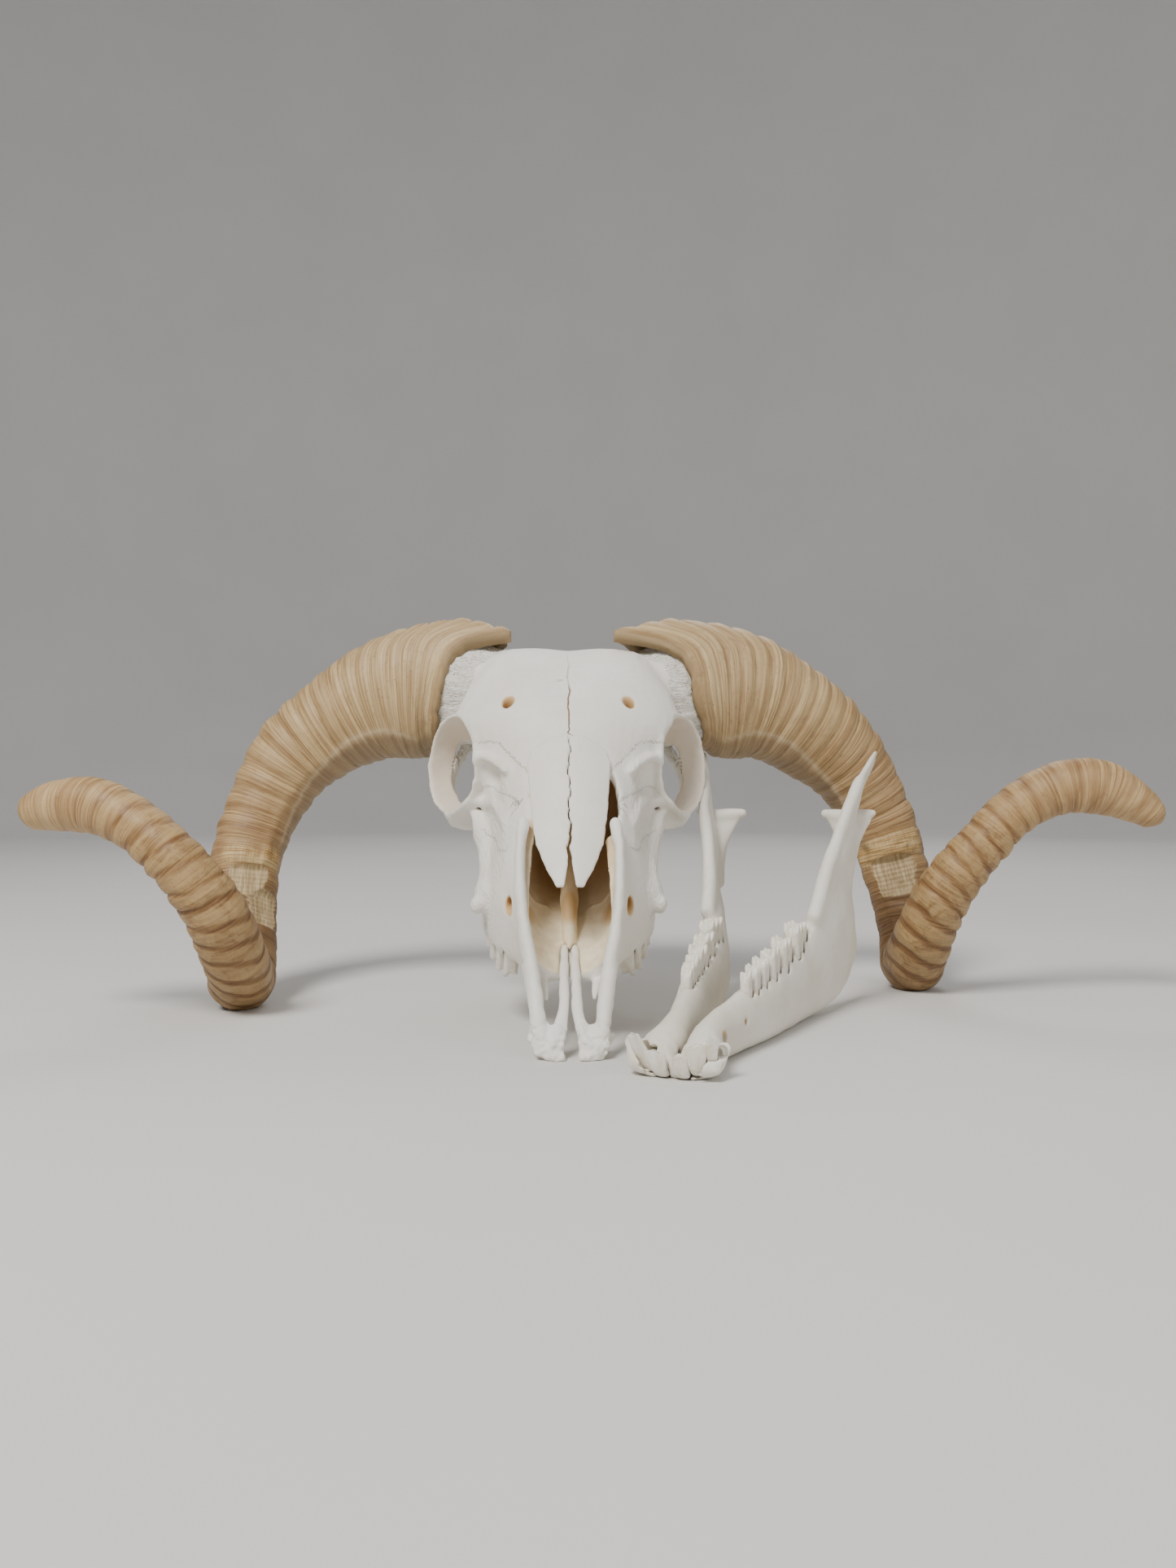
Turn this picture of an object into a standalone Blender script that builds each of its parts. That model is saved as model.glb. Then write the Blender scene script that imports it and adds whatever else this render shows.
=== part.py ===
# Merino ram skull with both horns, its loose lower jaw lying beside it on a table.
# Row frame: +X to the right as the face is met, the face looks along -Y, +Z up, table top at z = 0.
# The palate frame has x as above, y from the front tip of the upper jaw backwards along the
# palate and z up from the cheek tooth line. It is tipped up by PALATE_TILT to reach the table frame.
import math
import bpy
import bmesh
import numpy as np
from mathutils import Matrix, Vector

for leftover in list(bpy.data.objects):
    bpy.data.objects.remove(leftover, do_unlink=True)

MM = 0.001
PALATE_TILT = math.radians(28.0)
PALATE_LIFT = 1.8
GAP = 0.35
WELD = 0.02
TABLE_SIZE = 900.0
TABLE_DEPTH = 40.0
# Middle of the whole group on the table, carried to the origin at the end
FRAME_MIDDLE = (20.4, 96.2, 0.0)

# Coarseness of the fused bones, in mm, and the faces each keeps
FUSE_STEP = 1.27
CRANIUM_FACES = 2900
JAW_FACES = 540
JAW_STEP = {"left": 1.05, "right": 1.0}
PREMAXILLA_FACES = 230

# Face and braincase, half outlines from the top middle round to the palate middle.
# Each station: distance back along the palate, then x, z pairs.
SKULL_STATIONS = [
    (44.0, [(0, 37), (8, 37), (14.5, 35), (19, 29), (20.5, 22), (20, 14), (17, 5), (12, 3), (0, 5)]),
    (60.0, [(0, 46), (9, 45), (17, 42), (22, 36), (24.5, 28), (25.5, 18), (25, 3), (17, 2), (0, 5)]),
    (76.0, [(0, 53), (10, 52), (19.5, 48), (24.5, 42), (29, 32), (33.5, 20), (33, -5), (19, -4), (0, 6)]),
    (93.0, [(0, 61), (11, 60), (20.5, 55), (27, 47), (33.5, 34), (38.5, 19), (40, -7), (25, -6), (0, 8)]),
    (110.0, [(0, 69), (11, 68), (20.5, 63), (29, 53), (34, 38), (38.5, 22), (41.5, -6), (26, -6), (0, 9)]),
    (126.0, [(0, 77), (11, 76), (22, 71), (32, 60), (36, 44), (39.5, 26), (41.5, -5), (26, -5), (0, 9)]),
    (141.0, [(0, 84.5), (14, 84.5), (28, 79), (38, 68), (41, 50), (41, 28), (40, -2), (25, -2), (0, 9)]),
    (155.0, [(0, 89), (17, 90.5), (36, 85), (51, 71), (47, 50), (41, 28), (37, 5), (24, 2), (0, 10)]),
    (170.0, [(0, 93), (19, 94.5), (39, 88), (56, 72), (46, 52), (34, 32), (24, 14), (15, 9), (0, 12)]),
    (186.0, [(0, 95), (20, 96.5), (40, 92), (54, 74), (43, 54), (33, 34), (24, 16), (13, 11), (0, 12)]),
    (202.0, [(0, 93.5), (21, 96), (38, 93), (44, 76), (37, 54), (33, 36), (26, 18), (13, 12), (0, 12)]),
    (218.0, [(0, 89), (18, 90), (33, 86), (38, 72), (37, 54), (35, 36), (27, 18), (13, 11), (0, 11)]),
    (236.0, [(0, 74), (16, 74), (30, 70), (38, 59), (40, 46), (37, 30), (26, 15), (12, 9), (0, 10)]),
    (250.0, [(0, 62), (16, 62), (28, 58), (35, 50), (36, 38), (31, 24), (20, 13), (11, 11), (0, 12)]),
    (258.0, [(0, 52), (12, 52), (20, 48), (25, 41), (25, 32), (21, 24), (14, 17), (9, 15), (0, 15)]),
]

# Tubes of the cranium on the right side, palate frame: points, then the two half widths at each.
# The first half width lies across the tube, level with x; the second is square to it.
ORBIT_CENTRE = (57.0, 162.5, 49.5)
ORBIT_AXIS = (0.83, -0.46, 0.31)
# Bowl of the eye socket: distance along its axis from the middle of the rim, and outer radius
ORBIT_BOWL = [(-25.9, 4), (-22.5, 13.8), (-16, 21.0), (-8, 25.2), (0, 26.3), (2.6, 26.0)]
CHEEK_RIDGE = [(38, 93, 17, 4, 5), (39, 112, 22, 4, 5), (41, 128, 27, 5, 6), (47, 140, 28, 6, 8),
               (55, 152, 26, 6, 7)]
CHEEK_ARCH = [(58, 158, 22, 4, 6.5), (62, 172, 22.5, 3.2, 6.5), (62.5, 186, 26, 2.6, 5.2),
              (60, 200, 30, 2.2, 4.4), (52, 219, 36, 3, 4.6), (38, 236, 41, 5, 6)]
PALATE_POINT = [(16, 62, 4.5, 6, 2.0), (13.5, 48, 5.2, 3.8, 1.8), (11.2, 36, 5.8, 2.2, 1.6),
                (10.2, 29, 6.0, 1.2, 1.2)]
NAPE_CREST = [(0, 251, 62, 4, 5), (18, 250, 61, 4, 5), (31, 247, 54, 4, 4.5), (38, 243, 42, 4, 4.5),
              (38, 243, 26, 4.5, 4.5)]
JUGULAR_PROCESS = [(31, 247, 26, 6, 4), (32, 251, 8, 5, 3), (31, 251, -8, 3.5, 2.2), (30, 249, -15, 2, 1.6)]
PTERYGOID_PLATE = [(14, 150, 6, 2, 8), (13, 166, 8, 1.8, 9), (13, 182, 12, 1.8, 7)]
VOMER_BLADE = [(0, 60, 9.5, 2.6, 3.2), (0, 70, 14, 3.3, 5), (0, 84, 20, 3.9, 7), (0, 98, 25, 3.6, 9),
               (0, 125, 28, 1.8, 12), (0, 152, 30, 1.8, 14)]
TURBINATE = [(10, 112, 46, 2.6, 9), (10, 126, 51, 3.2, 10), (10, 142, 58, 4, 10)]
BULLA = ((22, 229, 5), (7, 10, 9))
CONDYLE = ((14, 262, 17), (8.5, 8, 10))
FACIAL_TUBER = ((38, 93, 16), (5.5, 8, 6))
SOCKET_SWELLING = ((30, 133, 8), (11, 24, 10))

# Hollows of the cranium
NOSE_HOLLOW = [(0, 30, 26, 15, 15), (0, 44, 22, 15.5, 13.5), (0, 60, 26, 19, 16.5), (0, 78, 31, 21.8, 19.5),
               (0, 96, 36, 24, 23.5), (0, 114, 41, 25.5, 26), (0, 130, 46, 26, 27), (0, 143, 50, 22, 25)]
THROAT_HOLLOW = [(0, 132, 30, 10, 13), (0, 150, 22, 10.5, 9), (0, 168, 14, 10.5, 9), (0, 190, 4, 11, 8)]
BRAIN_CENTRE = (0, 211, 49)
BRAIN_RADII = (30, 35, 26)
BRAIN_DOOR = [(0, 232, 36, 10, 10), (0, 252, 30, 9.5, 9.5), (0, 275, 28, 9.5, 9.5)]
TEMPLE_HOLLOW = [(62, 204, 50, 12, 13), (60, 216, 56, 15, 14), (60, 234, 60, 16, 13)]
FOREHEAD_HOLE = [(29.5, 158, 100, 2.4, 2.4), (29, 159, 84, 2.2, 2.2), (28, 160, 78, 2.0, 2.0)]
CHEEK_HOLE = [(33, 58, 28, 2.4, 2.6), (26, 69, 27.5, 2.2, 2.4), (21, 80, 28, 2.0, 2.2)]

# Eye socket hollow: distance along the socket's axis from its rim centre, and radius
ORBIT_SOCKET = [(-33, 5), (-24, 10.5), (-20, 14), (-14, 18.3), (-7, 21.9), (0, 23), (14, 25)]
ORBIT_DOOR = [((47.5, 178, 33.5), (9.6, 9, 7.6)), ((50, 170, 28), (4.5, 5, 5))]

# Nose bones, one strip each: distance back, top z, inner x, outer x, outer z, thickness
NASAL_STRIP = [(56.5, 45.4, 2.6, 5.8, 44.6, 2.0), (66, 51, 1.0, 10.5, 48.2, 2.6),
               (80, 57.8, 0.5, 15.2, 53.0, 3.0), (96, 65.4, 0.25, 17.4, 59.5, 3.2),
               (112, 72.8, 0.25, 18.8, 66.5, 3.3), (122, 78.0, 0.25, 19.6, 72.2, 3.3),
               (127, 80.4, 0.25, 17.6, 75.8, 3.1), (130.5, 82.0, 0.25, 9.5, 80.6, 2.6)]
NASAL_STOPS = (0.0, 0.4, 0.75, 1.0)
NASAL_SEAT_RISE = 5.0
# Opening of the nose in front of the nose bones: distance back and z of its lower edge
NOSE_MOUTH = [(20, 17), (44, 25), (62, 36), (80, 48), (93, 57)]
NOSE_MOUTH_HALF = 23.0
NOSE_MOUTH_TOP = 80.0

# Front upper jaw, right side, palate frame
PREMAX_RIM = [(5.2, -1, -0.2, 2.4, 2.2), (8.6, 0.2, 0.0, 2.6, 2.4), (12.6, 3.6, 0.6, 2.6, 2.4),
              (16.2, 9.4, 1.6, 2.0, 2.0)]
PREMAX_BODY = [(9.6, 1.0, 0.6, 5.6, 2.2), (9.8, 5, 2.8, 5.6, 2.6), (9.6, 9.5, 4.6, 4.6, 2.6),
               (9.8, 14, 6.2, 2.6, 2.2)]
PREMAX_BAR = [(12.6, 4, 2.6, 3.4, 3.0), (13.4, 12, 8.0, 3.2, 3.6), (15.2, 24, 14.0, 3.2, 4.2),
              (17.0, 34, 20.5, 3.1, 4.6), (20.0, 48, 30.5, 2.8, 4.8), (21.7, 62, 40.0, 2.6, 4.6),
              (22.1, 76, 50.0, 2.4, 4.4), (20.8, 88, 58.0, 2.6, 3.0)]
PREMAX_FOOT = [(15.4, 20, 9.0, 1.9, 2.6), (17.4, 34, 9.0, 1.8, 2.6), (19.2, 46, 10.0, 1.8, 2.6)]
PREMAX_PRONG = [(6.2, 3, 2.6, 3.2, 2.8), (4.6, 10, 5.6, 2.8, 2.6), (3.0, 20, 7.0, 2.3, 2.4),
                (2.7, 32, 7.8, 2.1, 2.3), (2.5, 46, 8.6, 2.0, 2.2), (2.2, 61, 9.0, 1.6, 1.8)]

# Horn sheaths in the table frame: x, y, z, half width in the curl's plane, half width square to it
HORN_LEFT = [(-50, 153, 163, 31, 24), (-67, 160, 163.5, 36, 26), (-88.6, 165.5, 160.8, 34.3, 25.4),
             (-108.8, 171.5, 154.5, 30.6, 24.2), (-131, 176, 142.4, 26.5, 22),
             (-149.8, 177, 127.5, 24, 20.6), (-161.3, 175, 109.3, 21, 19.2),
             (-168.9, 169.5, 90.3, 19.3, 18.1), (-172.9, 162, 71, 18.2, 17.3),
             (-172.2, 151, 48.4, 17.3, 16.7), (-168.2, 137, 28, 16.7, 16.3), (-164.3, 121, 13.9, 16, 16),
             (-161, 97, 26.5, 15.2, 15.4), (-163.9, 80, 47.2, 14.4, 14.6),
             (-172.1, 72.3, 64.2, 13.5, 13.8), (-184.5, 69.6, 79.7, 12.6, 12.8),
             (-201.6, 72.1, 93.8, 12.2, 12.2), (-221.1, 77.7, 101.5, 13, 12.6),
             (-241.3, 84.3, 101.8, 11.9, 11.8), (-253.6, 88.2, 99.2, 9.2, 9.6),
             (-259.9, 90, 97.5, 5.6, 6.2)]
HORN_RIGHT = [(54, 152, 163, 31, 24), (72, 159.5, 163.5, 36, 26), (92.7, 165.5, 161.3, 34.9, 25.4),
              (114.6, 172.5, 154.6, 30.7, 24.8), (138, 180, 141.4, 27.9, 23.5),
              (157.3, 186.5, 125.6, 24.2, 21.8), (171.4, 190, 105.9, 20.8, 19.6),
              (180.9, 190, 86.7, 18.8, 18.2), (185.9, 187, 67, 18.4, 17.6),
              (189.6, 182.5, 48.8, 17.2, 16.8), (191.4, 176, 29.4, 16, 16.3),
              (189.8, 165, 13.6, 16.4, 16.4), (188.7, 146, 26.5, 15.4, 15.8),
              (192.9, 133.2, 47.2, 14.6, 15), (202.5, 125.9, 66, 13.2, 13.6),
              (214.5, 121.6, 81.8, 12.2, 12.8), (229.4, 119.1, 98.2, 12.2, 12.6),
              (250, 116.6, 109.6, 13.2, 13), (270.3, 114, 110.6, 14, 13), (287, 111.5, 102.8, 10.6, 10.6),
              (296.2, 109.6, 95.9, 7.2, 7.4), (300, 108.8, 92.2, 4.6, 5)]
HORN_RING_COUNT = 36
HORN_SIDES = 12
HORN_RIDGE_STEP = 2
HORN_RIDGE_HEIGHT = 1.1
MOUTH_FADE = 60.0
MOUTH_CAP = 0.3
# Edge of each sheath's mouth: angle from the top round by the face side, and how far along it lies
MOUTH_EDGE = {
    "left": [(0, -22), (12, -25), (24, -13), (34, -1), (48, 6), (90, 10), (130, 16), (165, 18), (200, 17),
             (235, 11), (270, 4), (310, -6), (338, -16)],
    "right": [(0, -31), (12, -35), (24, -22), (36, -5), (50, 5), (90, 10), (130, 16), (165, 18), (200, 17),
              (235, 11), (270, 4), (310, -8), (338, -22)],
}
# Bone core and the hollow of the sheath, as fractions of the horn's half widths, along its first stretch
CORE_SHARE = [0.86, 0.82, 0.74, 0.64, 0.50, 0.30]
SHEATH_WALL = 2.0
# How far the core's root lies below the middle of the sheath, and where along the horn that ends
CORE_DROP = 3.0
CORE_DROP_END = 22.0
# The air space inside each core: wall of the core, how far it runs in to the braincase, its taper there
SINUS_WALL = 6.5
SINUS_REACH = 36.0
SINUS_TAPER = 0.45
CORE_ROWS = 5

# Lower jaw, right half seen from the front, in its own frame: u back from the front teeth,
# v away from the middle, w up. Points, then half widths across and upright.
JAW_ORIGIN = (37.4, -33.4, -1.0)
JAW_YAW = math.radians(24.0)
JAW_BODY = [(3, 9.8, 6.3, 9.3, 4.4), (10, 9.4, 7.5, 8.8, 7.0), (20, 7.8, 10, 6.8, 9.2),
            (33, 8.2, 11.5, 5.8, 10.5), (48, 10.4, 12.6, 6.0, 11.4), (62, 12.6, 14, 6.6, 12.8),
            (84, 15.8, 16.2, 7.2, 15.6), (108, 18.5, 18.6, 7.6, 18), (134, 22, 22.4, 7.6, 21.5),
            (152, 26.5, 27, 6.2, 24), (168, 30.5, 31, 4.4, 23.5), (182, 34, 37, 3.0, 17)]
RAMUS_FLARE = 0.213
JAW_RAMUS = [(162, 29, 26, 3.4, 23), (161, 31, 45, 3.2, 25), (166, 32.2, 65, 2.8, 19),
             (171.5, 34.8, 82, 2.6, 14.5), (176, 37, 92, 2.4, 11)]
RAMUS_EDGE = [(137, 26.5, 50, 3.4, 4), (145, 28, 60, 3.2, 3.6), (151, 30, 72, 3, 3.4),
              (160, 33.5, 86, 2.8, 3.2), (166, 37, 100, 2.5, 3), (178, 40.5, 114, 2, 2.6)]
JAW_HOOK = [(170, 34, 76, 2.8, 9), (173, 37, 95, 2.6, 8), (180, 40.5, 112, 2.2, 6), (189, 44, 122, 1.8, 4.5),
            (197, 46, 129, 1.2, 2.2)]
JAW_HEAD = [(187, 22, 97.5, 2.4, 2.4), (186, 28, 96.8, 3.2, 3.2), (186, 35, 96, 3.6, 3.6),
            (186.5, 41, 97, 3.2, 3), (187, 46, 98, 2.2, 2)]
JAW_NECK = [(178, 33, 62, 2.6, 8), (182, 34, 72, 3.4, 6), (184.5, 34.5, 81, 5.0, 4),
            (185.5, 34.5, 89, 8.5, 3.2), (186, 34.5, 94.5, 11.5, 2.8)]

# Cheek teeth: start, length and half width of each, front to back
UPPER_TEETH = [(68.5, 8.0, 3.8), (77, 9.5, 4.8), (87, 10.0, 5.4), (97.5, 13.0, 6.0), (111, 15.5, 6.4),
               (127, 16.5, 6.2)]
UPPER_LINE_Y = [70, 80, 90, 102, 122, 145]
UPPER_LINE_X = [25.5, 29.0, 32.0, 33.8, 34.0, 32.0]
UPPER_CROWN_REACH = [15.0, 19.5, 20.5, 20.0, 18.5, 16.5]
UPPER_ROOT = 2.0
LOWER_TEETH = [(58, 6.0, 2.7), (64.5, 8.0, 3.1), (73, 9.0, 3.5), (82.5, 13.0, 3.9), (96, 15.5, 4.1),
               (112, 21.0, 4.1)]
LOWER_LINE_U = [58, 90, 134]
LOWER_LINE_V = [13.0, 17.0, 22.0]
LOWER_RIM_U = [58, 84, 110, 134]
LOWER_RIM_W = [24.5, 30.0, 35.5, 42.0]
LOWER_CROWN = 9.5
LOWER_ROOT = 7.0
TOOTH_FILL = 0.6
SEAT_PLAY = 0.9
LOWER_SEAT_DROP = 3.4
# Front teeth still in place: side, then root, neck, belly and tip as u, v, w, half width and half depth.
INCISORS = {
    "left_1": ("left", [(15, 3.0, 7.4, 1.6, 1.8), (6, 3.4, 3.6, 2.0, 2.0),
                        (1.5, 4.2, 6.2, 3.4, 1.6), (-2.5, 5.4, 12.2, 4.0, 0.7)]),
    "left_2": ("left", [(15, 6.8, 7.4, 1.6, 1.8), (7, 8.6, 4.4, 2.0, 2.0),
                        (2.5, 11.0, 8.6, 3.6, 1.6), (-1.0, 14.4, 15.8, 4.2, 0.7)]),
    "right_1": ("right", [(15, 3.0, 7.4, 1.6, 1.8), (6, 3.4, 3.6, 2.0, 2.0),
                          (1.5, 4.2, 6.2, 3.4, 1.6), (-2.5, 4.6, 12.0, 3.9, 0.7)]),
    "right_2": ("right", [(15, 6.8, 7.4, 1.6, 1.8), (7, 9.0, 4.6, 2.0, 2.0),
                          (2.5, 10.6, 8.2, 3.4, 1.6), (-1.0, 11.6, 14.6, 3.8, 0.7)]),
    "right_3": ("right", [(15, 11.2, 7.8, 1.3, 1.5), (8, 14.4, 5.8, 1.5, 1.6),
                          (4.5, 15.6, 9.4, 2.4, 1.4), (2.0, 17.4, 15.6, 2.4, 0.7)]),
}


def palate_to_table(point):
    """Carry a point of the palate frame to the table frame."""
    x, y, z = point
    c, s = math.cos(PALATE_TILT), math.sin(PALATE_TILT)
    return Vector((x, y * c - z * s, y * s + z * c + PALATE_LIFT))


def jaw_to_table(point, side):
    """Carry a point of the lower jaw's frame to the table frame; side is +1 or -1."""
    u, v, w = point
    c, s = math.cos(JAW_YAW), math.sin(JAW_YAW)
    ox, oy, oz = JAW_ORIGIN
    v = v * side
    return Vector((ox + u * s + v * c, oy + u * c - v * s, oz + w))


def mirrored(point):
    return (-point[0], point[1], point[2])


def right_palate(point):
    return palate_to_table(point)


def left_palate(point):
    return palate_to_table(mirrored(point))


def material(name, colour, roughness):
    mat = bpy.data.materials.new(name)
    mat.use_nodes = True
    shader = mat.node_tree.nodes["Principled BSDF"]
    shader.inputs["Base Color"].default_value = (*colour, 1.0)
    shader.inputs["Roughness"].default_value = roughness
    return mat


def smooth_row(rows, count):
    """Catmull-Rom curve through rows of numbers, read at count even steps of its length."""
    pts = np.array(rows, dtype=float)
    ends = np.vstack([2 * pts[0] - pts[1], pts, 2 * pts[-1] - pts[-2]])
    dense = []
    for i in range(len(pts) - 1):
        a, b, c, d = ends[i], ends[i + 1], ends[i + 2], ends[i + 3]
        for t in np.linspace(0, 1, 12, endpoint=False):
            dense.append(0.5 * (2 * b + (c - a) * t + (2 * a - 5 * b + 4 * c - d) * t ** 2
                                + (3 * b - a - 3 * c + d) * t ** 3))
    dense.append(pts[-1])
    dense = np.array(dense)
    run = np.concatenate([[0], np.cumsum(np.linalg.norm(np.diff(dense[:, :3], axis=0), axis=1))])
    at = np.linspace(0, run[-1], count)
    return np.stack([np.interp(at, run, dense[:, k]) for k in range(dense.shape[1])], axis=1), at


def add_rings(bm, rings):
    """Skin closed rings of points and close both ends."""
    verts = [[bm.verts.new(p) for p in ring] for ring in rings]
    n = len(verts[0])
    for a, b in zip(verts, verts[1:]):
        for k in range(n):
            bm.faces.new((a[k], a[(k + 1) % n], b[(k + 1) % n], b[k]))
    bm.faces.new(list(reversed(verts[0])))
    bm.faces.new(verts[-1])


def tube_rings(rows, place, sides, steps, up):
    """Rings of an oval tube; rows are x, y, z, half width across, half width upright."""
    path, _ = smooth_row(rows, steps)
    centres = [place(tuple(p[:3])) for p in path]
    lift = (place(tuple(up)) - place((0, 0, 0))).normalized()
    rings = []
    for i, centre in enumerate(centres):
        ahead = centres[min(i + 1, len(centres) - 1)] - centres[max(i - 1, 0)]
        ahead.normalize()
        across = ahead.cross(lift)
        if across.length < 0.05:
            across = ahead.cross(Vector((0.0, 1.0, 0.02)))
        across.normalize()
        upright = across.cross(ahead).normalized()
        ring = []
        for k in range(sides):
            turn = math.tau * k / sides
            ring.append(centre + across * (math.cos(turn) * path[i][3])
                        + upright * (math.sin(turn) * path[i][4]))
        rings.append(ring)
    return rings


def add_tube(bm, rows, place, sides=12, steps=None, up=(0, 0, 1)):
    add_rings(bm, tube_rings(rows, place, sides, steps or 4 * len(rows), up))


def add_ball(bm, centre, radii, place):
    made = bmesh.ops.create_icosphere(bm, subdivisions=3, radius=1.0)
    for vert in made["verts"]:
        vert.co = place((centre[0] + vert.co.x * radii[0], centre[1] + vert.co.y * radii[1],
                         centre[2] + vert.co.z * radii[2]))


def add_skull_body(bm, place):
    """Loft the mirrored half outlines of the face and braincase."""
    flat = [[y] + [value for pair in pairs for value in pair] for y, pairs in SKULL_STATIONS]
    rows = np.array(flat, dtype=float)
    fine = np.linspace(rows[0, 0], rows[-1, 0], 64)
    fine_rows = np.stack([np.interp(fine, rows[:, 0], rows[:, k]) for k in range(rows.shape[1])], axis=1)
    rings = []
    for row in fine_rows:
        half = [(row[k], row[k + 1]) for k in range(1, len(row), 2)]
        outline = half + [(-x, z) for x, z in reversed(half[1:-1])]
        rings.append([place((x, row[0], z)) for x, z in outline])
    add_rings(bm, rings)


def orbit_rows(profile):
    """Round tube rows along the eye socket's axis."""
    axis = Vector(ORBIT_AXIS).normalized()
    return [(*(Vector(ORBIT_CENTRE) + axis * t), r, r) for t, r in profile]


def as_object(name, bm, to_metres=True):
    bmesh.ops.recalc_face_normals(bm, faces=bm.faces)
    if to_metres:
        bmesh.ops.scale(bm, vec=(MM, MM, MM), verts=bm.verts)
    mesh = bpy.data.meshes.new(name)
    bm.to_mesh(mesh)
    bm.free()
    obj = bpy.data.objects.new(name, mesh)
    bpy.context.collection.objects.link(obj)
    return obj


def settle(obj):
    """Turn an object's modifiers into its mesh."""
    graph = bpy.context.evaluated_depsgraph_get()
    mesh = bpy.data.meshes.new_from_object(obj.evaluated_get(graph))
    obj.modifiers.clear()
    obj.data = mesh
    return obj


def fuse(obj, step):
    """Grow overlapping forms into one skin."""
    mod = obj.modifiers.new("Fuse", "REMESH")
    mod.mode = "VOXEL"
    mod.voxel_size = step * MM
    return settle(obj)


def soften(obj, rounds, factor=0.5):
    mod = obj.modifiers.new("Soften", "SMOOTH")
    mod.iterations = rounds
    mod.factor = factor
    return settle(obj)


def thin(obj, faces):
    """Bring a mesh down to about the given number of triangles."""
    triangles = sum(len(poly.vertices) - 2 for poly in obj.data.polygons)
    mod = obj.modifiers.new("Thin", "DECIMATE")
    mod.ratio = min(1.0, faces / triangles)
    mod.use_collapse_triangulate = True
    return settle(obj)


def carve(obj, tool, operation="DIFFERENCE"):
    mod = obj.modifiers.new("Carve", "BOOLEAN")
    mod.operation = operation
    mod.solver = "EXACT"
    mod.object = tool
    settle(obj)
    bpy.data.objects.remove(tool, do_unlink=True)
    return obj


def swollen(source, amount):
    """A copy of a piece grown outwards by amount in mm, to cut its seat."""
    bm = bmesh.new()
    bm.from_mesh(source.data)
    bm.normal_update()
    moves = [(vert, vert.normal.copy() * (amount * MM)) for vert in bm.verts]
    for vert, move in moves:
        vert.co += move
    return as_object(source.name + "_seat", bm, to_metres=False)


def keep_largest(obj):
    """Drop loose crumbs left by a cut and keep the one bone."""
    bm = bmesh.new()
    bm.from_mesh(obj.data)
    bmesh.ops.remove_doubles(bm, verts=bm.verts, dist=WELD * MM)
    unseen = set(bm.verts)
    groups = []
    while unseen:
        seed = unseen.pop()
        group, edge = {seed}, [seed]
        while edge:
            vert = edge.pop()
            for link in vert.link_edges:
                other = link.other_vert(vert)
                if other in unseen:
                    unseen.remove(other)
                    group.add(other)
                    edge.append(other)
        groups.append(group)
    groups.sort(key=len, reverse=True)
    for group in groups[1:]:
        bmesh.ops.delete(bm, geom=list(group), context="VERTS")
    bmesh.ops.triangulate(bm, faces=[f for f in bm.faces if len(f.verts) > 4])
    bm.to_mesh(obj.data)
    bm.free()
    return obj


def finish(obj, mat):
    obj.data.materials.clear()
    obj.data.materials.append(mat)
    for poly in obj.data.polygons:
        poly.use_smooth = True
        poly.material_index = 0
    return obj


def table_tool():
    """A slab whose top is the table, to give each resting point a flat."""
    bm = bmesh.new()
    slab = Matrix.Diagonal((TABLE_SIZE, TABLE_SIZE, TABLE_DEPTH, 1.0))
    bmesh.ops.create_cube(bm, size=1.0, matrix=Matrix.Translation((0, 0, -TABLE_DEPTH / 2)) @ slab)
    return as_object("table_tool", bm)


def horn_frames(rows, count):
    """Centres, half widths and carried axes along a horn."""
    path, run = smooth_row(rows, count)
    centres = [Vector(p[:3]) for p in path]
    aheads = []
    for i in range(count):
        step = centres[min(i + 1, count - 1)] - centres[max(i - 1, 0)]
        aheads.append(step.normalized())
    wide = Vector((0.0, -0.1, 1.0))
    axes = []
    for i in range(count):
        wide = (wide - aheads[i] * wide.dot(aheads[i])).normalized()
        axes.append((wide.copy(), aheads[i].cross(wide).normalized()))
    return path, run, centres, aheads, axes


def horn_rings(side, rows):
    """Rings of one horn; the mouth has a wavy slanting edge and the growth ridges run round it."""
    count = HORN_RING_COUNT
    edge = np.array(MOUTH_EDGE[side] + [(360, MOUTH_EDGE[side][0][1])], dtype=float)
    hand = 1 if side == "right" else -1
    path, run, centres, aheads, axes = horn_frames(rows, count)
    rings = []
    for i in range(count):
        wide, deep = axes[i]
        ridge = 0.0
        if 0 < i < count - 3:
            ridge = HORN_RIDGE_HEIGHT * (0.5 if i % HORN_RIDGE_STEP else -0.5) * min(1.0, path[i][3] / 20.0)
        fade = max(0.0, 1.0 - run[i] / MOUTH_FADE)
        ring = []
        for k in range(HORN_SIDES):
            turn = math.tau * k / HORN_SIDES
            a = (path[i][3] + ridge) * math.cos(turn)
            b = (path[i][4] + ridge) * math.sin(turn)
            slant = float(np.interp(math.degrees(hand * turn) % 360, edge[:, 0], edge[:, 1])) * fade
            ring.append(centres[i] + wide * a + deep * b + aheads[i] * slant)
        rings.append(ring)
    middle = sum(rings[0], Vector()) / HORN_SIDES
    return [[middle + (point - middle) * MOUTH_CAP for point in rings[0]]] + rings


def core_drop(at_run):
    return CORE_DROP * min(max(1.0 - at_run / CORE_DROP_END, 0.0), 1.6) ** 1.5


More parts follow.
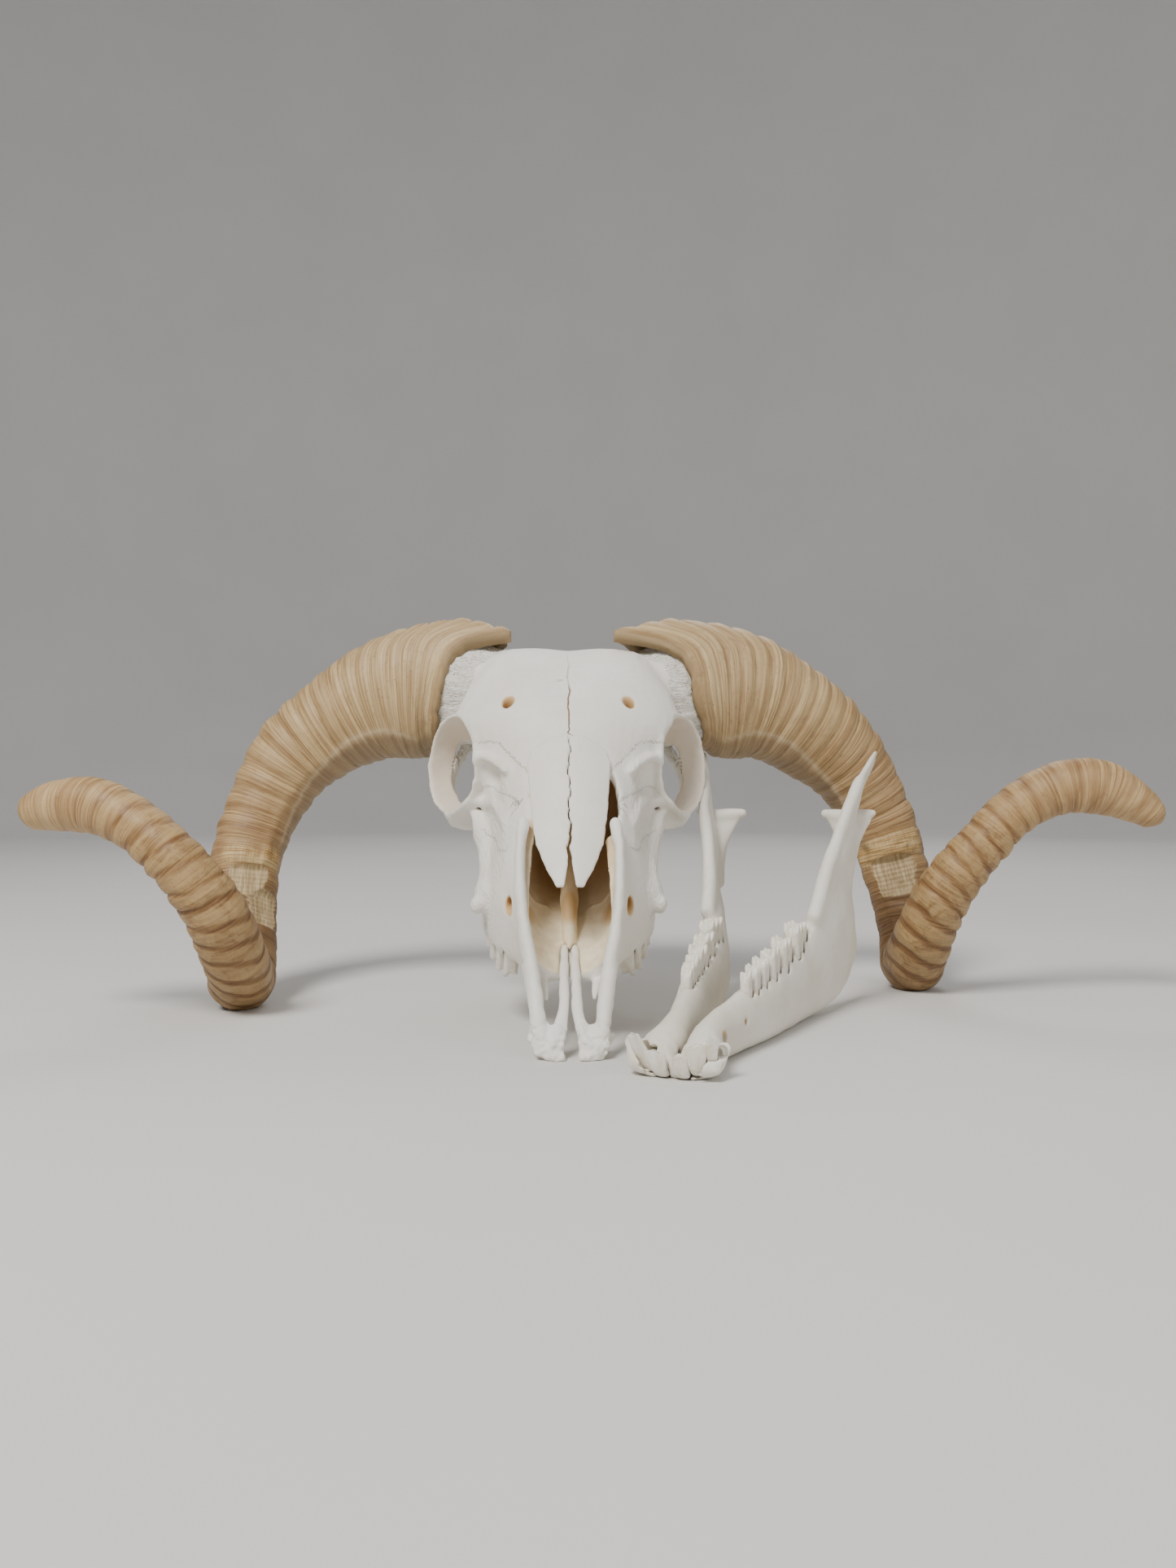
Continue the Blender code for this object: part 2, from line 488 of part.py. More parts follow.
def core_rings(rows, shares, grow, reach_back, sides, taper=1.0):
    """The bone core of a horn: grow above zero gives the hollow round it, below zero the air space in it."""
    count = 2 * len(shares) - 1
    path, run, centres, aheads, axes = horn_frames(rows[:len(shares)], count)
    share = np.interp(np.linspace(0, 1, count), np.linspace(0, 1, len(shares)), shares)
    stops = [(-1, taper)] + [(i, 1.0) for i in range(count)] + [(count, 0.35)]
    rings = []
    for i, scale in stops:
        at = min(max(i, 0), count - 1)
        centre = centres[at]
        at_run = run[at]
        if i < 0:
            centre = centre - aheads[0] * reach_back
            at_run = -reach_back
        if i >= count:
            centre = centre + aheads[-1] * (7.0 + grow)
        wide, deep = axes[at]
        centre = centre - wide * core_drop(at_run)
        a = path[at][3] * share[at] * scale + grow
        b = path[at][4] * share[at] * scale + grow
        ring = []
        for k in range(sides):
            turn = math.tau * k / sides
            ring.append(centre + wide * (math.cos(turn) * a) + deep * (math.sin(turn) * b))
        rings.append(ring)
    return rings


def add_nose_mouth(bm):
    """The space of the open nose in front of and under the nose bones."""
    rings = []
    for x in (-NOSE_MOUTH_HALF, NOSE_MOUTH_HALF):
        outline = list(NOSE_MOUTH) + [(NOSE_MOUTH[-1][0], NOSE_MOUTH_TOP), (NOSE_MOUTH[0][0], NOSE_MOUTH_TOP)]
        rings.append([palate_to_table((x, y, z)) for y, z in outline])
    add_rings(bm, rings)


def nasal_seat():
    """One slot for both nose bones, open upwards."""
    bm = bmesh.new()
    rings = []
    for y, top, inner, wide, low, thick in NASAL_STRIP:
        half, over = wide + GAP, top + NASAL_SEAT_RISE
        floor = [(half * t, nasal_under(top, low, thick, t) - 1.3 * GAP) for t in NASAL_STOPS]
        outline = [(-half, over), (half, over)] + floor[::-1] + [(-x, z) for x, z in floor[1:]]
        rings.append([palate_to_table((x, y, z)) for x, z in outline])
    first, last = rings[0], rings[-1]
    step = palate_to_table((0, 1.6, 0.8)) - palate_to_table((0, 0, 0))
    rings.insert(0, [p - step for p in first])
    rings.append([p + step * 0.4 for p in last])
    add_rings(bm, rings)
    return as_object("nasal_seat", bm)


def row_seat(place, teeth, line, rim, depth, rise):
    """One slot along a tooth row: line and rim give its middle and its edge height at a distance."""
    bm = bmesh.new()
    rings = []
    stops = [teeth[0][0] - GAP] + [t[0] for t in teeth[1:]] + [teeth[-1][0] + teeth[-1][1] + GAP]
    halves = [teeth[0][2]] + [max(a[2], b[2]) for a, b in zip(teeth, teeth[1:])] + [teeth[-1][2]]
    for at, half in zip(stops, halves):
        across, edge = line(at), rim(at)
        h = half + SEAT_PLAY
        rings.append([place((across + dx * h, at, edge + dz)) for dx, dz in
                      ((-1, -depth - GAP), (1, -depth - GAP), (1, rise), (-1, rise))])
    add_rings(bm, rings)
    return as_object("row_seat", bm)


def make_horn(name, side, rows, mat):
    bm = bmesh.new()
    add_rings(bm, horn_rings(side, rows))
    horn = as_object(name, bm)
    bm = bmesh.new()
    add_rings(bm, core_rings(rows, CORE_SHARE, SHEATH_WALL, 40.0, 10))
    carve(horn, as_object("horn_hollow", bm))
    carve(horn, table_tool())
    keep_largest(horn)
    return finish(horn, mat)


def nasal_top(top, low, t):
    return top + (low - top) * t ** 2.2


def nasal_under(top, low, thick, t):
    return nasal_top(top, low, t) - thick * (1.0 - 0.35 * t)


def make_nasal(name, place, mat):
    """One long thin nose bone, arched across and pointed in front."""
    bm = bmesh.new()
    rows = np.array(NASAL_STRIP, dtype=float)
    rings = []
    for y, top, inner, wide, low, thick in rows:
        upper, lower = [], []
        for t in NASAL_STOPS:
            x = inner + (wide - inner) * t
            upper.append(place((x, y, nasal_top(top, low, t))))
            lower.append(place((x, y, nasal_under(top, low, thick, t))))
        rings.append(upper + list(reversed(lower)))
    add_rings(bm, rings)
    return finish(as_object(name, bm), mat)


def make_premaxilla(name, place, mat):
    bm = bmesh.new()
    for rows in (PREMAX_RIM, PREMAX_BODY, PREMAX_BAR, PREMAX_FOOT, PREMAX_PRONG):
        add_tube(bm, rows, place, sides=12, steps=14)
    bone = fuse(as_object(name, bm), 0.7)
    soften(bone, 3)
    thin(bone, PREMAXILLA_FACES)
    carve(bone, table_tool())
    keep_largest(bone)
    return finish(bone, mat)


def block_tooth(bm, low, high, place, sides=8):
    """A square-shouldered tooth from two footprints: centre, half length, half width."""
    rings = []
    for t in (0.0, 0.55, 1.0):
        cx = low[0] + (high[0] - low[0]) * t
        cy = low[1] + (high[1] - low[1]) * t
        cz = low[2] + (high[2] - low[2]) * t
        hl = low[3] + (high[3] - low[3]) * t
        hw = low[4] + (high[4] - low[4]) * t
        ring = []
        for k in range(sides):
            turn = math.tau * (k + 0.5) / sides
            c, s = math.cos(turn), math.sin(turn)
            x = math.copysign(abs(c) ** 0.6, c) * hw
            y = math.copysign(abs(s) ** 0.6, s) * hl
            ring.append(place((cx + x, cy + y, cz)))
        rings.append(ring)
    add_rings(bm, rings)


def upper_line(y):
    return float(np.interp(y, UPPER_LINE_Y, UPPER_LINE_X))


def lower_line(u):
    return float(np.interp(u, LOWER_LINE_U, LOWER_LINE_V))


def lower_rim(u):
    return float(np.interp(u, LOWER_RIM_U, LOWER_RIM_W))


def make_upper_tooth(name, index, place, mat):
    start, length, half = UPPER_TEETH[index]
    y = start + length / 2
    x = upper_line(y)
    bm = bmesh.new()
    low = (x, y, UPPER_ROOT, length / 2 - TOOTH_FILL, half * 0.8)
    high = (x + 1.0, y, -UPPER_CROWN_REACH[index], length / 2 - 0.2, half * 0.9)
    block_tooth(bm, low, high, place)
    return finish(as_object(name, bm), mat)


def make_lower_tooth(name, index, place, mat):
    start, length, half = LOWER_TEETH[index]
    u = start + length / 2
    v, w = lower_line(u), lower_rim(u)
    bm = bmesh.new()
    low = (v, u, w - LOWER_ROOT, length / 2 - TOOTH_FILL, half * 0.8)
    high = (v - 0.4, u, w + LOWER_CROWN, length / 2 - 0.2, half * 0.9)
    block_tooth(bm, low, high, place)
    return finish(as_object(name, bm), mat)


def make_incisor(name, rows, place, mat):
    """A spade-shaped front tooth curving forwards and up out of the jaw tip."""
    bm = bmesh.new()
    add_rings(bm, tube_rings(rows, place, 6, 5, (0, 0, 1)))
    return finish(as_object(name, bm), mat)


def make_jaw(name, place, mat, incisors, step):
    bm = bmesh.new()
    add_tube(bm, JAW_BODY, place, sides=14)
    add_tube(bm, JAW_RAMUS, place, sides=14, up=(1, RAMUS_FLARE, 0))
    for rows in (RAMUS_EDGE, JAW_HOOK, JAW_NECK):
        add_tube(bm, rows, place, sides=14, up=(1, 0, 0))
    add_tube(bm, JAW_HEAD, place, sides=12)
    bone = fuse(as_object(name, bm), step)
    soften(bone, 4)
    thin(bone, JAW_FACES)

    def row_place(point):
        return place((point[1], point[0], point[2]))

    carve(bone, row_seat(row_place, LOWER_TEETH, lower_line, lower_rim, LOWER_ROOT + LOWER_SEAT_DROP, 14.0))
    for tooth in incisors:
        carve(bone, swollen(tooth, GAP))
    carve(bone, table_tool())
    keep_largest(bone)
    return finish(bone, mat)


def make_cranium(mat, neighbours, horns):
    bm = bmesh.new()
    add_skull_body(bm, palate_to_table)
    for place in (right_palate, left_palate):
        add_tube(bm, orbit_rows(ORBIT_BOWL), place, sides=20)
        for rows in (CHEEK_RIDGE, CHEEK_ARCH, NAPE_CREST, JUGULAR_PROCESS, PALATE_POINT):
            add_tube(bm, rows, place)
        for centre, radii in (BULLA, CONDYLE, FACIAL_TUBER, SOCKET_SWELLING):
            add_ball(bm, centre, radii, place)
    for rows in (HORN_LEFT, HORN_RIGHT):
        add_rings(bm, core_rings(rows, CORE_SHARE[:CORE_ROWS], 0.0, 26.0, 20))
    bone = fuse(as_object("cranium", bm), FUSE_STEP)

    bm = bmesh.new()
    for rows in (NOSE_HOLLOW, THROAT_HOLLOW, BRAIN_DOOR):
        add_tube(bm, rows, right_palate, sides=20)
    add_ball(bm, BRAIN_CENTRE, BRAIN_RADII, right_palate)
    add_nose_mouth(bm)
    for rows in (HORN_LEFT, HORN_RIGHT):
        add_rings(bm, core_rings(rows, CORE_SHARE[:CORE_ROWS], -SINUS_WALL, SINUS_REACH, 16, SINUS_TAPER))
    for place in (right_palate, left_palate):
        add_tube(bm, orbit_rows(ORBIT_SOCKET), place, sides=20)
        for centre, radii in ORBIT_DOOR:
            add_ball(bm, centre, radii, place)
        for rows in (TEMPLE_HOLLOW, FOREHEAD_HOLE, CHEEK_HOLE):
            add_tube(bm, rows, place)
    carve(bone, fuse(as_object("hollows", bm), FUSE_STEP))

    bm = bmesh.new()
    add_tube(bm, VOMER_BLADE, right_palate)
    for place in (right_palate, left_palate):
        for rows in (PTERYGOID_PLATE, TURBINATE):
            add_tube(bm, rows, place)
    carve(bone, fuse(as_object("inner_blades", bm), FUSE_STEP), "UNION")
    fuse(bone, FUSE_STEP)
    soften(bone, 3)
    thin(bone, CRANIUM_FACES)
    carve(bone, nasal_seat())
    for place in (right_palate, left_palate):
        carve(bone, row_seat(place, UPPER_TEETH, upper_line, lambda y: 0.0, 22.0, UPPER_ROOT + GAP))
    for piece in neighbours + horns:
        carve(bone, swollen(piece, GAP))
    keep_largest(bone)
    return finish(bone, mat)


bone_mat = material("bone", (0.80, 0.74, 0.62), 0.75)
horn_mat = material("horn", (0.46, 0.33, 0.19), 0.55)
tooth_mat = material("tooth", (0.74, 0.66, 0.50), 0.4)

sides = {"left": (left_palate, HORN_LEFT), "right": (right_palate, HORN_RIGHT)}
premaxillae, horns = [], []
for side, (place, rows) in sides.items():
    horns.append(make_horn("horn_sheath_" + side, side, rows, horn_mat))
    make_nasal("nasal_bone_" + side, place, bone_mat)
    premaxillae.append(make_premaxilla("premaxilla_" + side, place, bone_mat))
    for index in range(len(UPPER_TEETH)):
        make_upper_tooth("upper_tooth_%s_%d" % (side, index + 1), index, place, tooth_mat)

make_cranium(bone_mat, premaxillae, horns)

for side, hand in (("left", -1), ("right", 1)):
    def place(point, hand=hand):
        return jaw_to_table(point, hand)

    def row_place(point, hand=hand):
        return jaw_to_table((point[1], point[0], point[2]), hand)

    for index in range(len(LOWER_TEETH)):
        make_lower_tooth("lower_tooth_%s_%d" % (side, index + 1), index, row_place, tooth_mat)
    incisors = [make_incisor("incisor_" + label, rows, place, tooth_mat)
                for label, (where, rows) in INCISORS.items() if where == side]
    make_jaw("mandible_" + side, place, bone_mat, incisors, JAW_STEP[side])

to_middle = Matrix.Translation([-value * MM for value in FRAME_MIDDLE])
for piece in bpy.data.objects:
    piece.data.transform(to_middle)
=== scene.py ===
# Looks of a merino ram skull with both horns and its loose lower jaw on a pale table.
# Table frame: mm, +X to the right as the face is met, the face looks along -Y, table top at z = 0.
# Palate frame: x as above, y from the tip of the upper jaw backwards, z up from the cheek tooth line.
# Jaw frame: u back from the front teeth, v away from the middle, w up.
import math
import bpy
import numpy as np
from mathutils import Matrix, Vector


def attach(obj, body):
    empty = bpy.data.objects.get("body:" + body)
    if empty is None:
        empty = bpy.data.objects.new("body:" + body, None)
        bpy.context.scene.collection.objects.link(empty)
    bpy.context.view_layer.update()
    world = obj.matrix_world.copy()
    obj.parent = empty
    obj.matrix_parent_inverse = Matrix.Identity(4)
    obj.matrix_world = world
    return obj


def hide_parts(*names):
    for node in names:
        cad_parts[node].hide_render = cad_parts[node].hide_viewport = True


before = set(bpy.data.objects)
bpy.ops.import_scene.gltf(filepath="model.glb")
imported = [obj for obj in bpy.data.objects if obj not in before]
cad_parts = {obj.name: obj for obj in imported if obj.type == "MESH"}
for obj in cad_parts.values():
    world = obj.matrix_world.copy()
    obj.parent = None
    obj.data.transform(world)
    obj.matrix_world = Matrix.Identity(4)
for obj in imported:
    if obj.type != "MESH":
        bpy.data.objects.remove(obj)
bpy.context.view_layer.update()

MM = 0.001
PALATE_TILT = math.radians(28.0)
PALATE_LIFT = 1.8
JAW_ORIGIN = (37.4, -33.4, -1.0)
JAW_YAW = math.radians(24.0)
FRAME_MIDDLE = (20.4, 96.2, 0.0)
GAP = 0.35
SEAT_PLAY = 0.4

# Grid steps in mm of the bones, and the triangles that each piece keeps
SKULL_STEP = 0.9
JAW_STEP = 0.7
THIN_STEP = 0.5
TOOTH_STEP = 0.42
CRANIUM_TRIANGLES = 190000
JAW_TRIANGLES = 70000
PREMAX_TRIANGLES = 34000
NASAL_TRIANGLES = 24000
TOOTH_TRIANGLES = 3600
HORN_RINGS = 640
HORN_SIDES = 108

# Face and braincase, half outlines from the top middle round to the palate middle.
SKULL_STATIONS = [
    (44.0, [(0, 37), (8, 37), (14.5, 35), (19, 29), (20.5, 22), (20, 14), (17, 5), (12, 3), (0, 5)]),
    (60.0, [(0, 46), (9, 45), (17, 42), (22, 36), (24.5, 28), (25.5, 18), (25, 3), (17, 2), (0, 5)]),
    (76.0, [(0, 53), (10, 52), (19.5, 48), (24.5, 42), (29, 32), (33.5, 20), (33, -5), (19, -4), (0, 6)]),
    (93.0, [(0, 61), (11, 60), (20.5, 55), (27, 47), (33.5, 34), (38.5, 19), (40, -7), (25, -6), (0, 8)]),
    (110.0, [(0, 69), (11, 68), (20.5, 63), (29, 53), (34, 38), (38.5, 22), (41.5, -6), (26, -6), (0, 9)]),
    (126.0, [(0, 77), (11, 76), (22, 71), (32, 60), (36, 44), (39.5, 26), (41.5, -5), (26, -5), (0, 9)]),
    (141.0, [(0, 84.5), (14, 84.5), (28, 79), (38, 68), (41, 50), (41, 28), (40, -2), (25, -2), (0, 9)]),
    (155.0, [(0, 89), (17, 90.5), (36, 85), (51, 71), (47, 50), (41, 28), (37, 5), (24, 2), (0, 10)]),
    (170.0, [(0, 93), (19, 94.5), (39, 88), (56, 72), (46, 52), (34, 32), (24, 14), (15, 9), (0, 12)]),
    (186.0, [(0, 95), (20, 96.5), (40, 92), (54, 74), (43, 54), (33, 34), (24, 16), (13, 11), (0, 12)]),
    (202.0, [(0, 93.5), (21, 96), (38, 93), (44, 76), (37, 54), (33, 36), (26, 18), (13, 12), (0, 12)]),
    (218.0, [(0, 89), (18, 90), (33, 86), (38, 72), (37, 54), (35, 36), (27, 18), (13, 11), (0, 11)]),
    (236.0, [(0, 74), (16, 74), (30, 70), (38, 59), (40, 46), (37, 30), (26, 15), (12, 9), (0, 10)]),
    (250.0, [(0, 62), (16, 62), (28, 58), (35, 50), (36, 38), (31, 24), (20, 13), (11, 11), (0, 12)]),
    (258.0, [(0, 52), (12, 52), (20, 48), (25, 41), (25, 32), (21, 24), (14, 17), (9, 15), (0, 15)]),
]

# Limbs of the cranium on the right side: points, then half width across and half width upright
ORBIT_CENTRE = (57.0, 162.5, 49.5)
ORBIT_RADIUS = 23.0
ORBIT_AXIS = (0.83, -0.46, 0.31)
ORBIT_WALL = 2.6
ORBIT_RIM_HEIGHT = 2.5
ORBIT_DOOR = [((53.5, 178, 32), (6.5, 9, 9)), ((52, 170, 28), (4.5, 5, 5))]
CHEEK_RIDGE = [(38, 93, 17, 4, 5), (39, 112, 22, 4, 5), (41, 128, 27, 5, 6), (47, 140, 28, 6, 8),
               (55, 152, 26, 6, 7)]
CHEEK_ARCH = [(58, 158, 22, 4, 6.5), (62, 172, 22.5, 3.2, 6.5), (62.5, 186, 26, 2.6, 5.2),
              (60, 200, 30, 2.2, 4.4), (52, 219, 36, 3, 4.6), (38, 236, 41, 5, 6)]
PALATE_POINT = [(16, 62, 4.5, 6, 2.0), (13.5, 48, 5.2, 3.8, 1.8), (11.2, 36, 5.8, 2.2, 1.6),
                (10.2, 29, 6.0, 1.2, 1.2)]
NAPE_CREST = [(0, 251, 62, 4, 5), (18, 250, 61, 4, 5), (31, 247, 54, 4, 4.5), (38, 243, 42, 4, 4.5),
              (38, 243, 26, 4.5, 4.5)]
JUGULAR_PROCESS = [(31, 247, 26, 6, 4), (32, 251, 8, 5, 3), (31, 251, -8, 3.5, 2.2), (30, 249, -15, 2, 1.6)]
PTERYGOID_PLATE = [(14, 150, 6, 2, 8), (13, 166, 8, 1.8, 9), (13, 182, 12, 1.8, 7)]
VOMER_BLADE = [(0, 60, 9.5, 2.6, 3.2), (0, 70, 14, 3.3, 5), (0, 84, 20, 3.9, 7), (0, 98, 25, 3.6, 9),
               (0, 125, 28, 1.8, 12), (0, 152, 30, 1.8, 14)]
TURBINATE = [(10, 112, 46, 2.6, 9), (10, 126, 51, 3.2, 10), (10, 142, 58, 4, 10)]
NOSE_SHEET = ((4.2, 24.0), (84.0, 14.5, 0.55), 38.0, 0.55)
BULLA = ((22, 229, 5), (7, 10, 9))
CONDYLE = ((14, 262, 17), (8.5, 8, 10))
FACIAL_TUBER = ((38, 93, 16), (5.5, 8, 6))
TUBER_KNOB = ((42.5, 87, 15), (3.4, 4.4, 4.4))
CHEEK_CREST = [(59, 151, 27, 2.2, 3), (57, 147, 31, 2, 2.2), (51.5, 142, 38.5, 2, 2),
               (46, 141, 40, 1.8, 1.8), (40, 136, 41.5, 2.2, 2.2), (36, 128, 46, 2.4, 2.4),
               (32.5, 117, 48, 2, 2), (29.5, 106, 48, 1.5, 1.5)]
TEAR_LIP = [(45.5, 150, 70, 1.6, 1.6), (45, 147, 65, 2, 2), (47.5, 145.5, 60, 2, 2), (46, 144, 55, 2.2, 2.2),
            (45.5, 143.5, 50, 2.4, 2.4), (47, 143.5, 44, 2.2, 2.2), (51, 144.5, 39, 2, 2)]
TEAR_RIDGE = [(47, 145, 60, 1.8, 1.8), (41, 140, 65, 1.8, 1.8), (35, 133, 66, 1.8, 1.8),
              (30, 125, 65.5, 1.4, 1.4)]
TEAR_HOLLOW = ((39, 131, 57), (6.5, 9, 6))
UNDER_CHEEK = ((55, 138, 26), (9.5, 9, 9))
SOCKET_SWELLING = ((30, 133, 8), (11, 24, 10))

# Hollows of the cranium
NOSE_HOLLOW = [(0, 30, 26, 15, 15), (0, 44, 22, 15.5, 13.5), (0, 60, 26, 19, 16.5), (0, 78, 31, 21.8, 19.5),
               (0, 96, 36, 24, 23.5), (0, 114, 41, 25.5, 26), (0, 130, 46, 26, 27), (0, 143, 50, 22, 25)]
THROAT_HOLLOW = [(0, 132, 30, 10, 13), (0, 150, 22, 10.5, 9), (0, 168, 14, 10.5, 9), (0, 190, 4, 11, 8)]
BRAIN = ((0, 211, 49), (30, 35, 26))
BRAIN_DOOR = [(0, 232, 36, 10, 10), (0, 252, 30, 9.5, 9.5), (0, 275, 28, 9.5, 9.5)]
TEMPLE_HOLLOW = [(62, 213, 52, 11, 12), (60, 223, 57, 15, 14), (60, 234, 60, 16, 13)]
FOREHEAD_HOLE = [(29.8, 154.5, 100, 2.9, 2.9), (29.3, 155.5, 84, 2.5, 2.5), (28, 156.5, 76, 2.2, 2.2)]
CHEEK_HOLE = [(33, 58, 28, 2.6, 3.2), (26, 69, 27.5, 2.4, 3.0), (21, 80, 28, 2.0, 2.4)]
ORBIT_SOCKET = [(-33, 5), (-24, 8), (-20, 12), (-14, 18.3), (-7, 21.9), (0, 23), (14, 25)]

# Nose bones, one strip each: distance back, top z, inner x, outer x, outer z, thickness
NASAL_STRIP = [(56.5, 45.4, 2.6, 5.8, 44.6, 2.0), (66, 51, 1.0, 10.5, 48.2, 2.6),
               (80, 57.8, 0.5, 15.2, 53.0, 3.0), (96, 65.4, 0.25, 17.4, 59.5, 3.2),
               (112, 72.8, 0.25, 18.8, 66.5, 3.3), (122, 78.0, 0.25, 19.6, 72.2, 3.3),
               (127, 80.4, 0.25, 17.6, 75.8, 3.1), (130.5, 82.0, 0.25, 9.5, 80.6, 2.6)]
NASAL_SEAT_RISE = 5.0
NOSE_MOUTH = [(20, 17), (44, 25), (62, 36), (80, 48), (93, 57)]
NOSE_MOUTH_HALF = 23.0
NOSE_MOUTH_TOP = 80.0
# Slit beside the right nose bone: start and end of its length back, and its width
NOSE_SLIT = (86, 120, 4.6)
# Steps skipped and rounds of blur where the share of bone round each place is worked out, for the ochre
# painted shade in narrow corners
COVER_SKIP = 3
COVER_ROUNDS = 5

# Front upper jaw, right side
PREMAX_RIM = [(5.2, -1, -0.2, 2.4, 2.2), (8.6, 0.2, 0.0, 2.6, 2.4), (12.6, 3.6, 0.6, 2.6, 2.4),
              (16.2, 9.4, 1.6, 2.0, 2.0)]
PREMAX_BODY = [(9.6, 1.0, 0.6, 5.6, 2.2), (9.8, 5, 2.8, 5.4, 2.6), (9.6, 8.2, 4.2, 3.4, 2.4),
               (9.6, 10.5, 5.0, 1.6, 1.8)]
PREMAX_BAR = [(12.6, 4, 2.6, 3.4, 3.0), (13.4, 12, 8.0, 3.2, 3.6), (15.2, 24, 14.0, 3.2, 4.2),
              (17.0, 34, 20.5, 3.1, 4.6), (20.0, 48, 30.5, 2.8, 4.8), (21.7, 62, 40.0, 2.6, 4.6),
              (22.1, 76, 50.0, 2.4, 4.4), (20.8, 88, 58.0, 2.6, 3.0)]
PREMAX_FOOT = [(15.4, 20, 9.0, 1.9, 2.6), (17.4, 34, 9.0, 1.8, 2.6), (19.2, 46, 10.0, 1.8, 2.6)]
PREMAX_PRONG = [(6.2, 3, 2.6, 3.2, 2.8), (4.6, 10, 5.6, 2.8, 2.6), (3.0, 20, 7.0, 2.3, 2.4),
                (2.7, 32, 7.8, 2.1, 2.3), (2.5, 46, 8.6, 2.0, 2.2), (2.2, 61, 9.0, 1.6, 1.8)]

# Horn sheaths in the table frame: x, y, z, half width in the curl's plane, half width square to it
HORN_LEFT = [(-50, 153, 163, 31, 24), (-67, 160, 163.5, 36, 26), (-88.6, 165.5, 160.8, 34.3, 25.4),
             (-108.8, 171.5, 154.5, 30.6, 24.2), (-131, 176, 142.4, 26.5, 22),
             (-149.8, 177, 127.5, 24, 20.6), (-161.3, 175, 109.3, 21, 19.2),
             (-168.9, 169.5, 90.3, 19.3, 18.1), (-172.9, 162, 71, 18.2, 17.3),
             (-172.2, 151, 48.4, 17.3, 16.7), (-168.2, 137, 28, 16.7, 16.3), (-164.3, 121, 13.9, 16, 16),
             (-161, 97, 26.5, 15.2, 15.4), (-163.9, 80, 47.2, 14.4, 14.6),
             (-172.1, 72.3, 64.2, 13.5, 13.8), (-184.5, 69.6, 79.7, 12.6, 12.8),
             (-201.6, 72.1, 93.8, 12.2, 12.2), (-221.1, 77.7, 101.5, 13, 12.6),
             (-241.3, 84.3, 101.8, 11.9, 11.8), (-253.6, 88.2, 99.2, 9.2, 9.6),
             (-259.9, 90, 97.5, 5.6, 6.2)]
HORN_RIGHT = [(54, 152, 163, 31, 24), (72, 159.5, 163.5, 36, 26), (92.7, 165.5, 161.3, 34.9, 25.4),
              (114.6, 172.5, 154.6, 30.7, 24.8), (138, 180, 141.4, 27.9, 23.5),
              (157.3, 186.5, 125.6, 24.2, 21.8), (171.4, 190, 105.9, 20.8, 19.6),
              (180.9, 190, 86.7, 18.8, 18.2), (185.9, 187, 67, 18.4, 17.6),
              (189.6, 182.5, 48.8, 17.2, 16.8), (191.4, 176, 29.4, 16, 16.3),
              (189.8, 165, 13.6, 16.4, 16.4), (188.7, 146, 26.5, 15.4, 15.8),
              (192.9, 133.2, 47.2, 14.6, 15), (202.5, 125.9, 66, 13.2, 13.6),
              (214.5, 121.6, 81.8, 12.2, 12.8), (229.4, 119.1, 98.2, 12.2, 12.6),
              (250, 116.6, 109.6, 13.2, 13), (270.3, 114, 110.6, 14, 13), (287, 111.5, 102.8, 10.6, 10.6),
              (296.2, 109.6, 95.9, 7.2, 7.4), (300, 108.8, 92.2, 4.6, 5)]
MOUTH_FADE = 60.0
RAG_FADE = 14.0
# Edge of each sheath's mouth: angle from the top round by the face side, and how far along it lies
MOUTH_EDGE = {
    "left": [(0, -22), (12, -25), (24, -13), (34, -2), (48, 3.5), (90, 6.5), (130, 13), (165, 17), (200, 17),
             (235, 11), (270, 4), (310, -6), (338, -16)],
    "right": [(0, -31), (12, -35), (24, -22), (36, -8), (50, -1), (90, 3.5), (130, 11), (165, 17), (200, 17),
              (235, 11), (270, 4), (310, -8), (338, -22)],
}
# How far the core's root lies below the middle of the sheath, and where along the horn that ends
CORE_DROP = 3.0
CORE_DROP_END = 22.0
CORE_SHARE = [0.86, 0.82, 0.74, 0.64, 0.50, 0.30]
CORE_ROWS = 5
SHEATH_PLAY = 1.0
CORE_ROOT = 26.0
CORE_TAPER = 0.8
SINUS_WALL = 6.5
SINUS_REACH = 36.0
SINUS_TAPER = 0.45

# Lower jaw, right half
JAW_BODY = [(3, 9.8, 6.3, 9.3, 4.4), (10, 9.4, 7.5, 8.8, 7.0), (20, 7.8, 10, 6.8, 9.2),
            (33, 8.2, 11.5, 5.8, 10.5), (48, 10.4, 12.6, 6.0, 11.4), (62, 12.6, 14, 6.6, 12.8),
            (84, 15.8, 16.2, 7.2, 15.6), (108, 18.5, 18.6, 7.6, 18), (134, 22, 22.4, 7.6, 21.5),
            (152, 26.5, 27, 6.2, 24), (168, 30.5, 31, 4.4, 23.5), (182, 34, 37, 3.0, 17)]
RAMUS_FLARE = 0.213
JAW_RAMUS = [(162, 29, 26, 3.4, 23), (161, 31, 45, 3.2, 25), (166, 32.2, 65, 2.8, 19),
             (171.5, 34.8, 82, 2.6, 14.5), (176, 37, 92, 2.4, 11)]
RAMUS_EDGE = [(137, 26.5, 50, 3.4, 4), (145, 28, 60, 3.2, 3.6), (151, 30, 72, 3, 3.4),
              (160, 33.5, 86, 2.8, 3.2), (166, 37, 100, 2.5, 3), (178, 40.5, 114, 2, 2.6)]
JAW_HOOK = [(170, 34, 76, 2.8, 9), (173, 37, 95, 2.6, 8), (180, 40.5, 112, 2.2, 6), (189, 44, 122, 1.8, 4.5),
            (197, 46, 129, 1.2, 2.2)]
